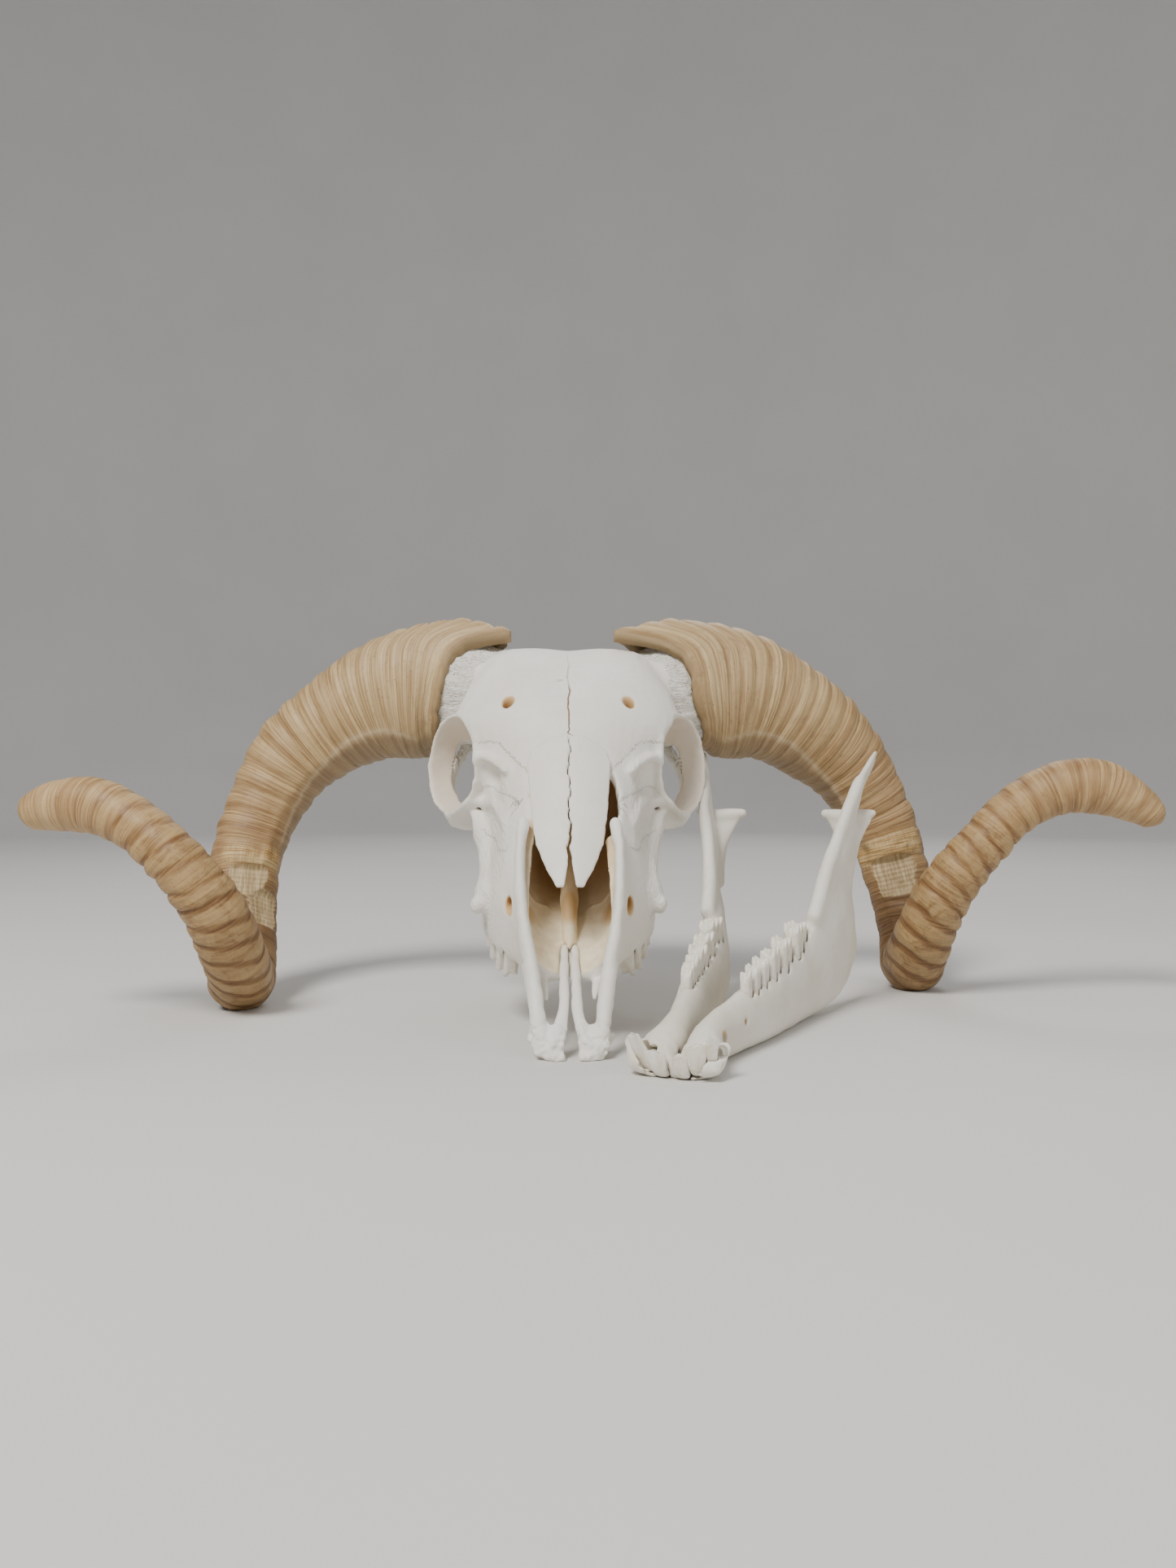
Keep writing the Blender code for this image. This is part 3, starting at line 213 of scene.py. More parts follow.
JAW_HEAD = [(187, 22, 97.5, 2.4, 2.4), (186, 28, 96.8, 3.2, 3.2), (186, 35, 96, 3.6, 3.6),
            (186.5, 41, 97, 3.2, 3), (187, 46, 98, 2.2, 2)]
JAW_NECK = [(178, 33, 62, 2.6, 8), (182, 34, 72, 3.4, 6), (184.5, 34.5, 81, 5.0, 4),
            (185.5, 34.5, 89, 8.5, 3.2), (186, 34.5, 94.5, 11.5, 2.8)]
CHIN_RIM = [(5.2, 0.8, 3.5, 3.8, 3.4), (4.8, 6, 3.5, 3.8, 3.4), (5.0, 11, 5.4, 3.6, 3.4),
            (6.0, 15.6, 8.8, 3.2, 3.2), (7.6, 18.6, 12.4, 2.6, 2.6)]

# Cheek teeth: start, length and half width of each, front to back, and how many columns each has
UPPER_TEETH = [(68.5, 8.0, 3.8), (77, 9.5, 4.8), (87, 10.0, 5.4), (97.5, 13.0, 6.0), (111, 15.5, 6.4),
               (127, 16.5, 6.2)]
UPPER_COLUMNS = (1, 1, 1, 2, 2, 2)
UPPER_LINE_Y = [70, 80, 90, 102, 122, 145]
UPPER_LINE_X = [25.5, 29.0, 32.0, 33.8, 34.0, 32.0]
UPPER_CROWN_REACH = [15.0, 19.5, 20.5, 20.0, 18.5, 16.5]
UPPER_ROOT = 2.0
LOWER_TEETH = [(58, 6.0, 2.7), (64.5, 8.0, 3.1), (73, 9.0, 3.5), (82.5, 13.0, 3.9), (96, 15.5, 4.1),
               (112, 21.0, 4.1)]
LOWER_COLUMNS = (1, 2, 2, 2, 2, 3)
LOWER_LINE_U = [58, 90, 134]
LOWER_LINE_V = [13.0, 17.0, 22.0]
LOWER_RIM_U = [58, 84, 110, 134]
LOWER_RIM_W = [24.5, 30.0, 35.5, 42.0]
LOWER_CROWN = 9.5
LOWER_ROOT = 7.0
# Front teeth: side, how far each faces outwards, then u, v, w, half width and half thickness from the root
INCISORS = {
    "left_1": ("left", 0.15, [(14, 3.0, 7.4, 1.6, 1.8), (6.5, 3.6, 3.4, 2.2, 2.2), (1.8, 4.4, 3.2, 2.9, 2.0),
                              (-0.8, 4.9, 6.6, 3.7, 1.5), (-2.4, 5.5, 11.8, 4.0, 0.7)]),
    "left_2": ("left", 0.6, [(14, 6.8, 7.4, 1.6, 1.8), (6.5, 8.2, 4.8, 2.2, 2.2), (2.6, 9.8, 5.4, 2.9, 2.0),
                             (0.4, 12.2, 10.6, 3.8, 1.5), (-0.8, 15.6, 17.2, 4.1, 0.7)]),
    "right_1": ("right", 0.1, [(14, 3.0, 7.4, 1.6, 1.8), (6.5, 3.8, 3.4, 2.2, 2.2), (1.8, 4.2, 3.2, 2.8, 2.0),
                               (-0.8, 3.6, 6.2, 3.4, 1.5), (-2.4, 3.0, 11.0, 3.7, 0.7)]),
    "right_2": ("right", 0.45, [(14, 6.8, 7.4, 1.6, 1.8), (6.5, 8.4, 4.6, 2.2, 2.2),
                                (2.4, 9.7, 5.2, 2.9, 2.0), (0.4, 9.8, 9.6, 3.8, 1.5),
                                (-0.8, 9.9, 15.0, 4.4, 0.7)]),
    "right_3": ("right", 0.7, [(14, 11.2, 7.8, 1.3, 1.5), (8, 13.6, 6.6, 1.6, 1.7),
                               (4.2, 14.8, 9.0, 2.0, 1.6), (2.6, 15.3, 13.2, 2.4, 1.2),
                               (1.6, 15.8, 18.4, 2.5, 0.6)]),
}
# Empty sockets of the front teeth that are gone
EMPTY_SOCKETS = {
    "left": [[(16, 10.0, 9.0, 1.6, 1.8), (8, 13.0, 10.6, 2.6, 2.4), (2, 15.0, 12.6, 3.4, 3.0),
              (-2, 16, 14, 4, 3.4)],
             [(13, 7.0, 9.0, 1.4, 1.4), (6, 8.6, 10.4, 1.8, 1.6), (1, 9.4, 11.4, 2.2, 1.8)]],
    "right": [[(14, 14.6, 9.6, 1.4, 1.6), (8, 17.6, 11.0, 2.0, 2.2), (3, 19.4, 13.0, 2.8, 3.0),
               (-1, 20, 14, 3, 3.2)]],
}
CHIN_HOLE = [(27, 21, 12.5, 2.0, 2.4), (25, 15.5, 12.5, 2.0, 2.2), (29, 12, 12.0, 1.8, 2.0)]
SIDE_HOLE = [(49, 19, 15.0, 1.0, 1.2), (50, 14, 15.0, 0.9, 1.0)]
# Middles of the mouths of these holes, as v, u, w; the ochre round them is painted shade
JAW_HOLES = [(16.0, 25.5, 12.5), (14.0, 26.0, 12.5), (13.0, 49.5, 15.0)]


# Places

def palate_to_table(points):
    points = np.atleast_2d(points)
    c, s = math.cos(PALATE_TILT), math.sin(PALATE_TILT)
    x, y, z = points[:, 0], points[:, 1], points[:, 2]
    return np.stack([x, y * c - z * s, y * s + z * c + PALATE_LIFT], axis=1)


def table_to_palate(points):
    points = np.atleast_2d(points)
    c, s = math.cos(PALATE_TILT), math.sin(PALATE_TILT)
    y, z = points[:, 1], points[:, 2] - PALATE_LIFT
    return np.stack([points[:, 0], y * c + z * s, -y * s + z * c], axis=1)


def jaw_to_table(points, side):
    points = np.atleast_2d(points)
    c, s = math.cos(JAW_YAW), math.sin(JAW_YAW)
    u, v, w = points[:, 0], points[:, 1] * side, points[:, 2]
    ox, oy, oz = JAW_ORIGIN
    return np.stack([ox + u * s + v * c, oy + u * c - v * s, oz + w], axis=1)


def unit(vectors):
    return vectors / np.maximum(np.linalg.norm(vectors, axis=-1, keepdims=True), 1e-9)


def smooth_row(rows, count):
    """Catmull-Rom curve through rows of numbers, read at count even steps of its length."""
    pts = np.array(rows, dtype=float)
    ends = np.vstack([2 * pts[0] - pts[1], pts, 2 * pts[-1] - pts[-2]])
    dense = []
    for i in range(len(pts) - 1):
        a, b, c, d = ends[i], ends[i + 1], ends[i + 2], ends[i + 3]
        for t in np.linspace(0, 1, 12, endpoint=False):
            dense.append(0.5 * (2 * b + (c - a) * t + (2 * a - 5 * b + 4 * c - d) * t ** 2
                                + (3 * b - a - 3 * c + d) * t ** 3))
    dense.append(pts[-1])
    dense = np.array(dense)
    run = np.concatenate([[0], np.cumsum(np.linalg.norm(np.diff(dense[:, :3], axis=0), axis=1))])
    at = np.linspace(0, run[-1], count)
    return np.stack([np.interp(at, run, dense[:, k]) for k in range(dense.shape[1])], axis=1), at


def step_up(value, low, high):
    """Smooth step from 0 at low to 1 at high."""
    t = np.clip((value - low) / (high - low), 0.0, 1.0)
    return t * t * (3 - 2 * t)


def noise(points, size, seed=0):
    """Smooth value noise from -1 to 1 whose lumps are about size mm across."""
    q = points / size + seed * 17.31
    base = np.floor(q).astype(np.int64)
    t = q - base
    t = t * t * (3 - 2 * t)
    total = np.zeros(points.shape[:-1])
    for corner in range(8):
        offset = np.array([corner & 1, corner >> 1 & 1, corner >> 2 & 1])
        cell = base + offset
        mix = cell[..., 0] * 374761393 + cell[..., 1] * 668265263 + cell[..., 2] * 1442695041
        mix = (mix ^ (mix >> 13)) * 1274126177 & 0xFFFFFFFF
        mix = mix ^ (mix >> 16)
        weight = np.prod(np.where(offset == 1, t, 1 - t), axis=-1)
        total += weight * ((mix & 0xFFFF) / 32767.5 - 1)
    return total


def layers(points, size, seed=0, count=3):
    """Several sizes of noise laid over each other."""
    return sum(noise(points, size / 2 ** i, seed + i) / 2 ** i for i in range(count)) / 1.5


# Solid shapes as distances in mm on a grid, below zero inside

FAR = 20.0


def soft_min(a, b, blend):
    if blend <= 0:
        return np.minimum(a, b)
    h = np.maximum(blend - np.abs(a - b), 0.0) / blend
    return np.minimum(a, b) - h * h * blend * 0.25


class Field:
    """Distances to a shape on a regular grid from low to high."""

    def __init__(self, low, high, step):
        self.step = step
        self.axes = [np.arange(a, b + step, step, dtype=np.float32) for a, b in zip(low, high)]
        self.values = np.full([len(axis) for axis in self.axes], FAR, dtype=np.float32)

    @classmethod
    def of(cls, step, axes, values):
        """A field from its step, axes and values."""
        field = cls.__new__(cls)
        field.step, field.axes, field.values = step, axes, values
        return field

    def window(self, low, high):
        """Slices of the grid inside a box, and the coordinates there."""
        cut = []
        for axis, a, b in zip(self.axes, low, high):
            first = int(np.clip(np.searchsorted(axis, a) - 1, 0, len(axis) - 1))
            last = int(np.clip(np.searchsorted(axis, b) + 1, first + 1, len(axis)))
            cut.append(slice(first, last))
        axes = [axis[c] for axis, c in zip(self.axes, cut)]
        return tuple(cut), np.meshgrid(*axes, indexing="ij", sparse=True)

    def add(self, shape, blend=0.0):
        cut, distance = shape(self)
        self.values[cut] = soft_min(self.values[cut], distance, blend)

    def cut(self, shape, blend=0.0):
        cut, distance = shape(self)
        self.values[cut] = -soft_min(-self.values[cut], distance, blend)

    def roughen(self, low, high, amount, size, seed, centre=None, reach=None):
        """Move the skin in a box by noise; centre and reach fade it with distance."""
        cut, (x, y, z) = self.window(low, high)
        points = np.stack(np.broadcast_arrays(x, y, z), axis=-1)
        push = noise(points, size, seed) * amount
        if centre is not None:
            away = np.linalg.norm(points - np.array(centre), axis=-1)
            push = push * (1 - step_up(away, reach * 0.6, reach))
        self.values[cut] += push.astype(np.float32)

    def read(self, points):
        """Value at points inside the grid, straight between its nodes."""
        at = [np.clip((p - axis[0]) / self.step, 0, len(axis) - 1.001)
              for p, axis in zip(points.T, self.axes)]
        base = [a.astype(int) for a in at]
        part = [a - b for a, b in zip(at, base)]
        total = np.zeros(len(points))
        for corner in range(8):
            o = (corner & 1, corner >> 1 & 1, corner >> 2 & 1)
            weight = np.prod([p if k else 1 - p for p, k in zip(part, o)], axis=0)
            total += weight * self.values[tuple(b + k for b, k in zip(base, o))]
        return total

    def blur(self):
        """Round every edge by about one step."""
        for axis in range(3):
            v = np.moveaxis(self.values, axis, 0)
            v[1:-1] = (v[:-2] + 2 * v[1:-1] + v[2:]) / 4


def ellipsoid(a, b, c, ra, rb, rc):
    """Distance to an ellipsoid from local coordinates."""
    k0 = np.sqrt((a / ra) ** 2 + (b / rb) ** 2 + (c / rc) ** 2)
    k1 = np.sqrt((a / ra ** 2) ** 2 + (b / rb ** 2) ** 2 + (c / rc ** 2) ** 2)
    return k0 * (k0 - 1) / np.maximum(k1, 1e-6)


def ball(place):
    """An ellipsoid from its centre and radii."""
    centre, radii = [np.array(row, float) for row in place]

    def shape(field):
        reach = radii + 8
        cut, (x, y, z) = field.window(centre - reach, centre + reach)
        return cut, ellipsoid(x - centre[0], y - centre[1], z - centre[2], *radii)
    return shape


def limb(centres, across, upright, ra, rb, margin=7.0):
    """A tube with an oval section that changes along its centres."""
    def shape(field):
        reach = max(ra.max(), rb.max()) + margin
        cut, _ = field.window(centres.min(axis=0) - reach, centres.max(axis=0) + reach)
        out = np.full(field.values[cut].shape, FAR, dtype=np.float32)
        first = [c.start for c in cut]
        for i in range(len(centres) - 1):
            p, q = centres[i], centres[i + 1]
            length = max(np.linalg.norm(q - p), 1e-4)
            ahead = (q - p) / length
            size = max(ra[i], rb[i], ra[i + 1], rb[i + 1]) + margin
            sub, (x, y, z) = field.window(np.minimum(p, q) - size, np.maximum(p, q) + size)
            x, y, z = x - p[0], y - p[1], z - p[2]
            along = x * ahead[0] + y * ahead[1] + z * ahead[2]
            t = np.clip(along / length, 0, 1)
            a = x * across[i][0] + y * across[i][1] + z * across[i][2]
            b = x * upright[i][0] + y * upright[i][1] + z * upright[i][2]
            wa = ra[i] + (ra[i + 1] - ra[i]) * t
            wb = rb[i] + (rb[i + 1] - rb[i]) * t
            d = ellipsoid(a, b, along - t * length, wa, wb, np.minimum(wa, wb))
            local = tuple(slice(s.start - f, s.stop - f) for s, f in zip(sub, first))
            out[local] = np.minimum(out[local], d)
        return cut, out
    return shape


def tube(rows, up=(0, 0, 1), grow=0.0, margin=7.0):
    """A limb through rows of x, y, z and the two half widths."""
    path, _ = smooth_row(rows, 4 * len(rows))
    centres = path[:, :3]
    ahead = unit(np.gradient(centres, axis=0))
    across = np.cross(ahead, np.array(up, float))
    weak = np.linalg.norm(across, axis=1) < 0.05
    across[weak] = np.cross(ahead[weak], np.array([0.0, 1.0, 0.02]))
    across = unit(across)
    upright = unit(np.cross(across, ahead))
    return limb(centres, across, upright, path[:, 3] + grow, path[:, 4] + grow, margin)


def outline_distance(x, z, outline):
    """Signed distance in a plane to a closed outline of points."""
    best = np.full(np.broadcast(x, z).shape, 1e9)
    inside = np.zeros(best.shape, bool)
    for (ax, az), (bx, bz) in zip(outline, np.roll(outline, -1, axis=0)):
        ex, ez = bx - ax, bz - az
        px, pz = x - ax, z - az
        t = np.clip((px * ex + pz * ez) / max(ex * ex + ez * ez, 1e-9), 0, 1)
        best = np.minimum(best, (px - ex * t) ** 2 + (pz - ez * t) ** 2)
        if abs(ez) > 1e-9:
            inside ^= ((az > z) != (bz > z)) & (x < ax + ex * (z - az) / ez)
    return np.where(inside, -1, 1) * np.sqrt(best)


def skull_body(field):
    """The loft of face and braincase, slice by slice."""
    flat, _ = smooth_row([[y] + [v for pair in pairs for v in pair] for y, pairs in SKULL_STATIONS], 90)
    cut, _ = field.window((-1, flat[0, 0] - 6, -12), (75, flat[-1, 0] + 6, 112))
    x, z = field.axes[0][cut[0]][:, None], field.axes[2][cut[2]][None, :]
    out = np.empty(field.values[cut].shape, dtype=np.float32)
    for j, y in enumerate(field.axes[1][cut[1]]):
        inside_y = float(np.clip(y, flat[0, 0], flat[-1, 0]))
        row = [np.interp(inside_y, flat[:, 0], flat[:, k]) for k in range(1, flat.shape[1])]
        half = np.array(row).reshape(-1, 2)
        bend, _ = smooth_row(np.column_stack([half, np.zeros((len(half), 3))]), 26)
        outline = np.vstack([bend[:, :2], bend[::-1, :2] * (-1, 1)])
        flatd = outline_distance(x, z, outline)
        past = abs(y - inside_y)
        out[:, j, :] = np.where(flatd > 0, np.hypot(flatd, past), np.maximum(flatd, past) if past else flatd)
    return cut, out


def orbit_cup(field):
    """The wall of the eye socket: a bowl that opens outwards, with a broken edge."""
    axis = unit(np.array(ORBIT_AXIS))
    centre = np.array(ORBIT_CENTRE)
    reach = ORBIT_RADIUS + 12
    cut, (x, y, z) = field.window(centre - reach, centre + reach)
    place = np.stack(np.broadcast_arrays(x, y, z), axis=-1)
    x, y, z = x - centre[0], y - centre[1], z - centre[2]
    height = x * axis[0] + y * axis[1] + z * axis[2]
    radius = np.sqrt(x * x + y * y + z * z)
    lean = ORBIT_RIM_HEIGHT + 1.0 * noise(place, 5, 31) * step_up(-x, 2, 10) + 0.4 * noise(place, 2.6, 32)
    half = ORBIT_WALL / 2
    wall = np.abs(radius - ORBIT_RADIUS - half) - half * (1 + 0.25 * step_up(height, -6, 2))
    return cut, np.maximum(wall, height - lean).astype(np.float32)


def nose_sheet(field):
    """A thin sheet of bone that stands across the open nose, with a broken lower edge."""
    (inner, outer), (y0, z0, slope), top, half = NOSE_SHEET
    cut, (x, y, z) = field.window((0, 76, 8), (28, 112, 48))
    place = np.stack(np.broadcast_arrays(x, y * 0, z * 0), axis=-1)
    edge = z0 + 2.6 * ((x - 13) / 9) ** 2 + 1.4 * noise(place, 3.2, 21) + 0.8 * noise(place, 1.4, 22)
    bend = 1.6 * np.sin(x * 0.5) + 0.05 * (x - 13) ** 2
    plate = np.abs(y - y0 - slope * (z - z0) + bend) - half
    sides = np.maximum(np.maximum(inner - x, x - outer), z - top)
    return cut, np.maximum(np.maximum(plate, edge - z), sides).astype(np.float32)


def nose_mouth(field):
    """The space of the open nose in front of and under the nose bones."""
    cut, (x, y, z) = field.window((-1, 8, 5), (NOSE_MOUTH_HALF + 8, 105, NOSE_MOUTH_TOP + 6))
    lid = [(NOSE_MOUTH[end][0], NOSE_MOUTH_TOP) for end in (-1, 0)]
    side = outline_distance(y, z, np.array(NOSE_MOUTH + lid, float))
    return cut, np.maximum(side, np.abs(x) - NOSE_MOUTH_HALF)


NASAL = np.array(NASAL_STRIP, float)


def nasal_values(y):
    """Top, inner x, outer x, outer z and thickness of the nose bones at a distance back."""
    return [np.interp(y, NASAL[:, 0], NASAL[:, k]) for k in range(1, 6)]


def nasal_heights(x, y):
    top, inner, wide, low, thick = nasal_values(y)
    t = np.clip((np.abs(x) - inner) / np.maximum(wide - inner, 0.1), 0, 1)
    upper = top + (low - top) * t ** 2.2
    return upper, upper - thick * (1 - 0.35 * t), inner, wide


def nasal_seat(field):
    """The slot in which the nose bones lie, open upwards."""
    cut, (x, y, z) = field.window((-1, 50, 30), (28, 142, 100))
    upper, under, _, wide = nasal_heights(x, y)
    room = GAP + SEAT_PLAY * step_up(y, 86, 94) * (1 - step_up(y, 120, 126)) * (1 + 0.5 * np.sin(y * 1.7))
    walls = np.maximum(np.abs(x) - wide - room, np.maximum(NASAL[0, 0] - 4 - y, y - NASAL[-1, 0] - 0.8))
    return cut, np.maximum(walls, np.maximum(under - 1.3 * GAP - z, z - upper - NASAL_SEAT_RISE)) * 0.9


def horn_frames(rows, count):
    """Centres, half widths, carried axes and run along a horn."""
    path, run = smooth_row(rows, count)
    centres = path[:, :3]
    ahead = np.empty_like(centres)
    for i in range(count):
        ahead[i] = unit(centres[min(i + 1, count - 1)] - centres[max(i - 1, 0)])
    wide = np.array([0.0, -0.1, 1.0])
    wides, deeps = np.empty_like(centres), np.empty_like(centres)
    for i in range(count):
        wide = unit(wide - ahead[i] * wide.dot(ahead[i]))
        wides[i] = wide
        deeps[i] = unit(np.cross(ahead[i], wide))
    return path, run, centres, ahead, wides, deeps


def core_drop(run):
    return CORE_DROP * np.clip(1 - run / CORE_DROP_END, 0, 1.6) ** 1.5


def core(rows, grow, reach_back, taper):
    """The bone core of a horn, or the air space in it; its root lies a little below the sheath's middle."""
    count = 4 * CORE_ROWS
    path, run, centres, ahead, wides, deeps = horn_frames(rows[:CORE_ROWS], count)
    share = np.interp(np.linspace(0, 1, count), np.linspace(0, 1, CORE_ROWS), CORE_SHARE[:CORE_ROWS])
    ra = path[:, 3] * share + grow
    rb = path[:, 4] * share + grow
    steps = np.linspace(1, 0, 8, endpoint=False)
    back = centres[0] - ahead[0] * (steps * reach_back)[:, None]
    centres = np.vstack([back, centres])
    scale = 1 + (taper - 1) * steps
    ra = np.concatenate([ra[0] * scale, ra])
    rb = np.concatenate([rb[0] * scale, rb])
    wides = np.vstack([np.repeat(wides[:1], len(steps), axis=0), wides])
    deeps = np.vstack([np.repeat(deeps[:1], len(steps), axis=0), deeps])
    run = np.concatenate([-steps * reach_back, run])
    centres = centres - wides * core_drop(run)[:, None]
    origin = table_to_palate((0, 0, 0))
    wides, deeps = [table_to_palate(rows) - origin for rows in (wides, deeps)]
    return limb(table_to_palate(centres), wides, deeps, ra, rb)


# Skinning a grid

EDGES = [(0, 1), (0, 2), (0, 4), (1, 3), (1, 5), (2, 3), (2, 6), (3, 7), (4, 5), (4, 6), (5, 7), (6, 7)]


def corner_offset(corner):
    return np.array([corner & 1, corner >> 1 & 1, corner >> 2 & 1])


def skin(field):
    """Points and quads of the zero surface, one point per crossed cell."""
    values = field.values
    inside = values < 0
    shape = np.array(values.shape)
    total = np.zeros(shape - 1, dtype=np.uint8)
    for corner in range(8):
        o = corner_offset(corner)
        total += inside[o[0]:shape[0] - 1 + o[0], o[1]:shape[1] - 1 + o[1], o[2]:shape[2] - 1 + o[2]]
    cells = np.argwhere((total > 0) & (total < 8))
    number = np.full(total.shape, -1, dtype=np.int32)
    number[tuple(cells.T)] = np.arange(len(cells))
    at_corner = [values[tuple((cells + corner_offset(c)).T)] for c in range(8)]
    sums, hits = np.zeros((len(cells), 3)), np.zeros(len(cells))
    for a, b in EDGES:
        va, vb = at_corner[a], at_corner[b]
        crossed = (va < 0) != (vb < 0)
        t = np.where(crossed, va / np.where(crossed, va - vb, 1), 0)
        oa, ob = corner_offset(a), corner_offset(b)
        sums += np.where(crossed[:, None], oa + (ob - oa) * t[:, None], 0)
        hits += crossed
    points = (cells + sums / hits[:, None]) * field.step + [axis[0] for axis in field.axes]
    quads = []
    for axis in range(3):
        u, v = [k for k in range(3) if k != axis]
        low = np.take(inside, range(shape[axis] - 1), axis=axis)
        high = np.take(inside, range(1, shape[axis]), axis=axis)
        for starts in (True, False):
            hit = np.argwhere((low == starts) & (high != starts))
            keep = (hit[:, u] > 0) & (hit[:, v] > 0) & (hit[:, u] < shape[u] - 1) & (hit[:, v] < shape[v] - 1)
            hit = hit[keep]
            ring = []
            for du, dv in ((-1, -1), (0, -1), (0, 0), (-1, 0)):
                cell = hit.copy()
                cell[:, u] += du
                cell[:, v] += dv
                ring.append(number[tuple(cell.T)])
            quad = np.stack(ring, axis=1)
            if starts != (axis == 1):
                quads.append(quad)
            else:
                quads.append(quad[:, ::-1])
    return points, np.vstack(quads)


def keep_main(points, quads):
    """Drop loose crumbs: keep the largest joined piece."""
    label = np.arange(len(points))
    while True:
        low = label[quads].min(axis=1)
        new = label.copy()
        for k in range(4):
            np.minimum.at(new, label[quads[:, k]], low)
        while not np.array_equal(new[new], new):
            new = new[new]
        if np.array_equal(new, label):
            break
        label = new
    names, counts = np.unique(label, return_counts=True)
    main = label == names[np.argmax(counts)]
    index = np.cumsum(main) - 1
    return points[main], index[quads[main[quads[:, 0]]]]


def as_mesh(name, points, faces):
    """A smooth closed mesh object, facing outwards, from points in the table frame, in mm."""
    mesh = bpy.data.meshes.new(name)
    a, b, c, d = [points[faces[:, k % faces.shape[1]]] for k in range(4)]
    if (np.cross(a - c, b - d) * (a + b + c + d)).sum() < 0:
        faces = faces[:, ::-1]
    points = (points - np.array(FRAME_MIDDLE)) * MM
    sides = faces.shape[1]
    mesh.vertices.add(len(points))
    mesh.vertices.foreach_set("co", points.astype(np.float32).ravel())
    mesh.loops.add(faces.size)
    mesh.loops.foreach_set("vertex_index", faces.astype(np.int32).ravel())
    mesh.polygons.add(len(faces))
    mesh.polygons.foreach_set("loop_start", np.arange(0, faces.size, sides, dtype=np.int32))
    mesh.polygons.foreach_set("use_smooth", np.ones(len(faces), dtype=bool))
    mesh.update(calc_edges=True)
    mesh.validate()
    piece = bpy.data.objects.new(name, mesh)
    bpy.context.collection.objects.link(piece)
    return piece


def settle(piece):
    """Turn a piece's modifiers into its mesh."""
    graph = bpy.context.evaluated_depsgraph_get()
    mesh = bpy.data.meshes.new_from_object(piece.evaluated_get(graph))
    piece.modifiers.clear()
    old = piece.data
    piece.data = mesh
    bpy.data.meshes.remove(old)
    mesh.name = piece.name


def thin(piece, triangles):
    """Bring a mesh down to a number of triangles."""
    now = sum(len(p.vertices) - 2 for p in piece.data.polygons)
    if now > triangles:
        mod = piece.modifiers.new("Thin", "DECIMATE")
        mod.ratio = triangles / now
        mod.use_collapse_triangulate = True
        settle(piece)
    piece.data.polygons.foreach_set("use_smooth", np.ones(len(piece.data.polygons), dtype=bool))


def table_points(piece):
    """A piece's vertices in the table frame, in mm."""
    flat = np.empty(len(piece.data.vertices) * 3, dtype=np.float32)
    piece.data.vertices.foreach_get("co", flat)
    return flat.reshape(-1, 3) / MM + np.array(FRAME_MIDDLE)


def set_points(piece, points):
    flat = ((points - np.array(FRAME_MIDDLE)) * MM).astype(np.float32).ravel()
    piece.data.vertices.foreach_set("co", flat)
    piece.data.update()


def normals_of(piece):
    flat = np.empty(len(piece.data.vertices) * 3, dtype=np.float32)
    piece.data.vertices.foreach_get("normal", flat)
    return flat.reshape(-1, 3)


def mark(piece, name, values):
    """Keep a number, or three, at every vertex for the material."""
    values = np.asarray(values, dtype=np.float32)
    if values.ndim == 2:
        layer = piece.data.attributes.new(name, "FLOAT_VECTOR", "POINT")
        layer.data.foreach_set("vector", values.ravel())
    else:
        layer = piece.data.attributes.new(name, "FLOAT", "POINT")
        layer.data.foreach_set("value", values)


def grown(name, field, place, triangles):
    """Skin a field, carry it to the table and make it a piece."""
    field.blur()
    points, quads = keep_main(*skin(field))
    piece = as_mesh(name, place(points), quads)
    piece.modifiers.new("Soften", "SMOOTH").factor = 0.5
    settle(piece)
    thin(piece, triangles)
    return piece


# Cranium

def tooth_block(low, high, columns, seed, grow=0.0):
    """A cheek tooth between two footprints (across, along, height, half length, half width)."""
    low, high = np.array(low, float), np.array(high, float)

    def shape(field):
        reach = np.array([low[4] + 4, low[3] + 4, 4])
        ends = low[:3], high[:3]
        cut, (x, y, z) = field.window(np.minimum(*ends) - reach, np.maximum(*ends) + reach)
        t = np.clip((z - low[2]) / (high[2] - low[2]), 0, 1)
        cx = low[0] + (high[0] - low[0]) * t
        long = low[3] + (high[3] - low[3]) * t + grow
        wide = low[4] + (high[4] - low[4]) * t + grow
        out = None
        for i in range(columns):
            offset = (2 * i + 1 - columns) / columns
            half = long / columns
            u, v = (x - cx) / wide, (y - low[1] - offset * long) / (half * 1.12)
            lobe = ((np.abs(u) ** 2.6 + np.abs(v) ** 2.6) ** (1 / 2.6) - 1) * np.minimum(wide, half)
            out = lobe if out is None else soft_min(out, lobe, 0.7)
        out = np.maximum(out, np.abs(y - low[1]) - long)
        up = 1.0 if high[2] > low[2] else -1.0
        if grow:
            crown = high[2] * up + 4
        else:
            angle = (y - low[1]) / low[3] * math.pi / 2 * columns
            wave = 1 - 2 * np.abs(np.sin(angle) if columns % 2 else np.cos(angle))
            across = (x - cx) / low[4]
            crown = high[2] * up - 1.5 + 1.9 * wave + 0.7 * across * np.cos(seed * 2.1)
            crown = crown - 1.5 * np.exp(-(across / 0.4) ** 2) + 0.35 * np.sin(x * 2.3 + y * 1.7 + seed)
        caps = np.maximum(z * up - crown, low[2] * up - grow - z * up)
        return cut, np.maximum(out, caps).astype(np.float32)
    return shape


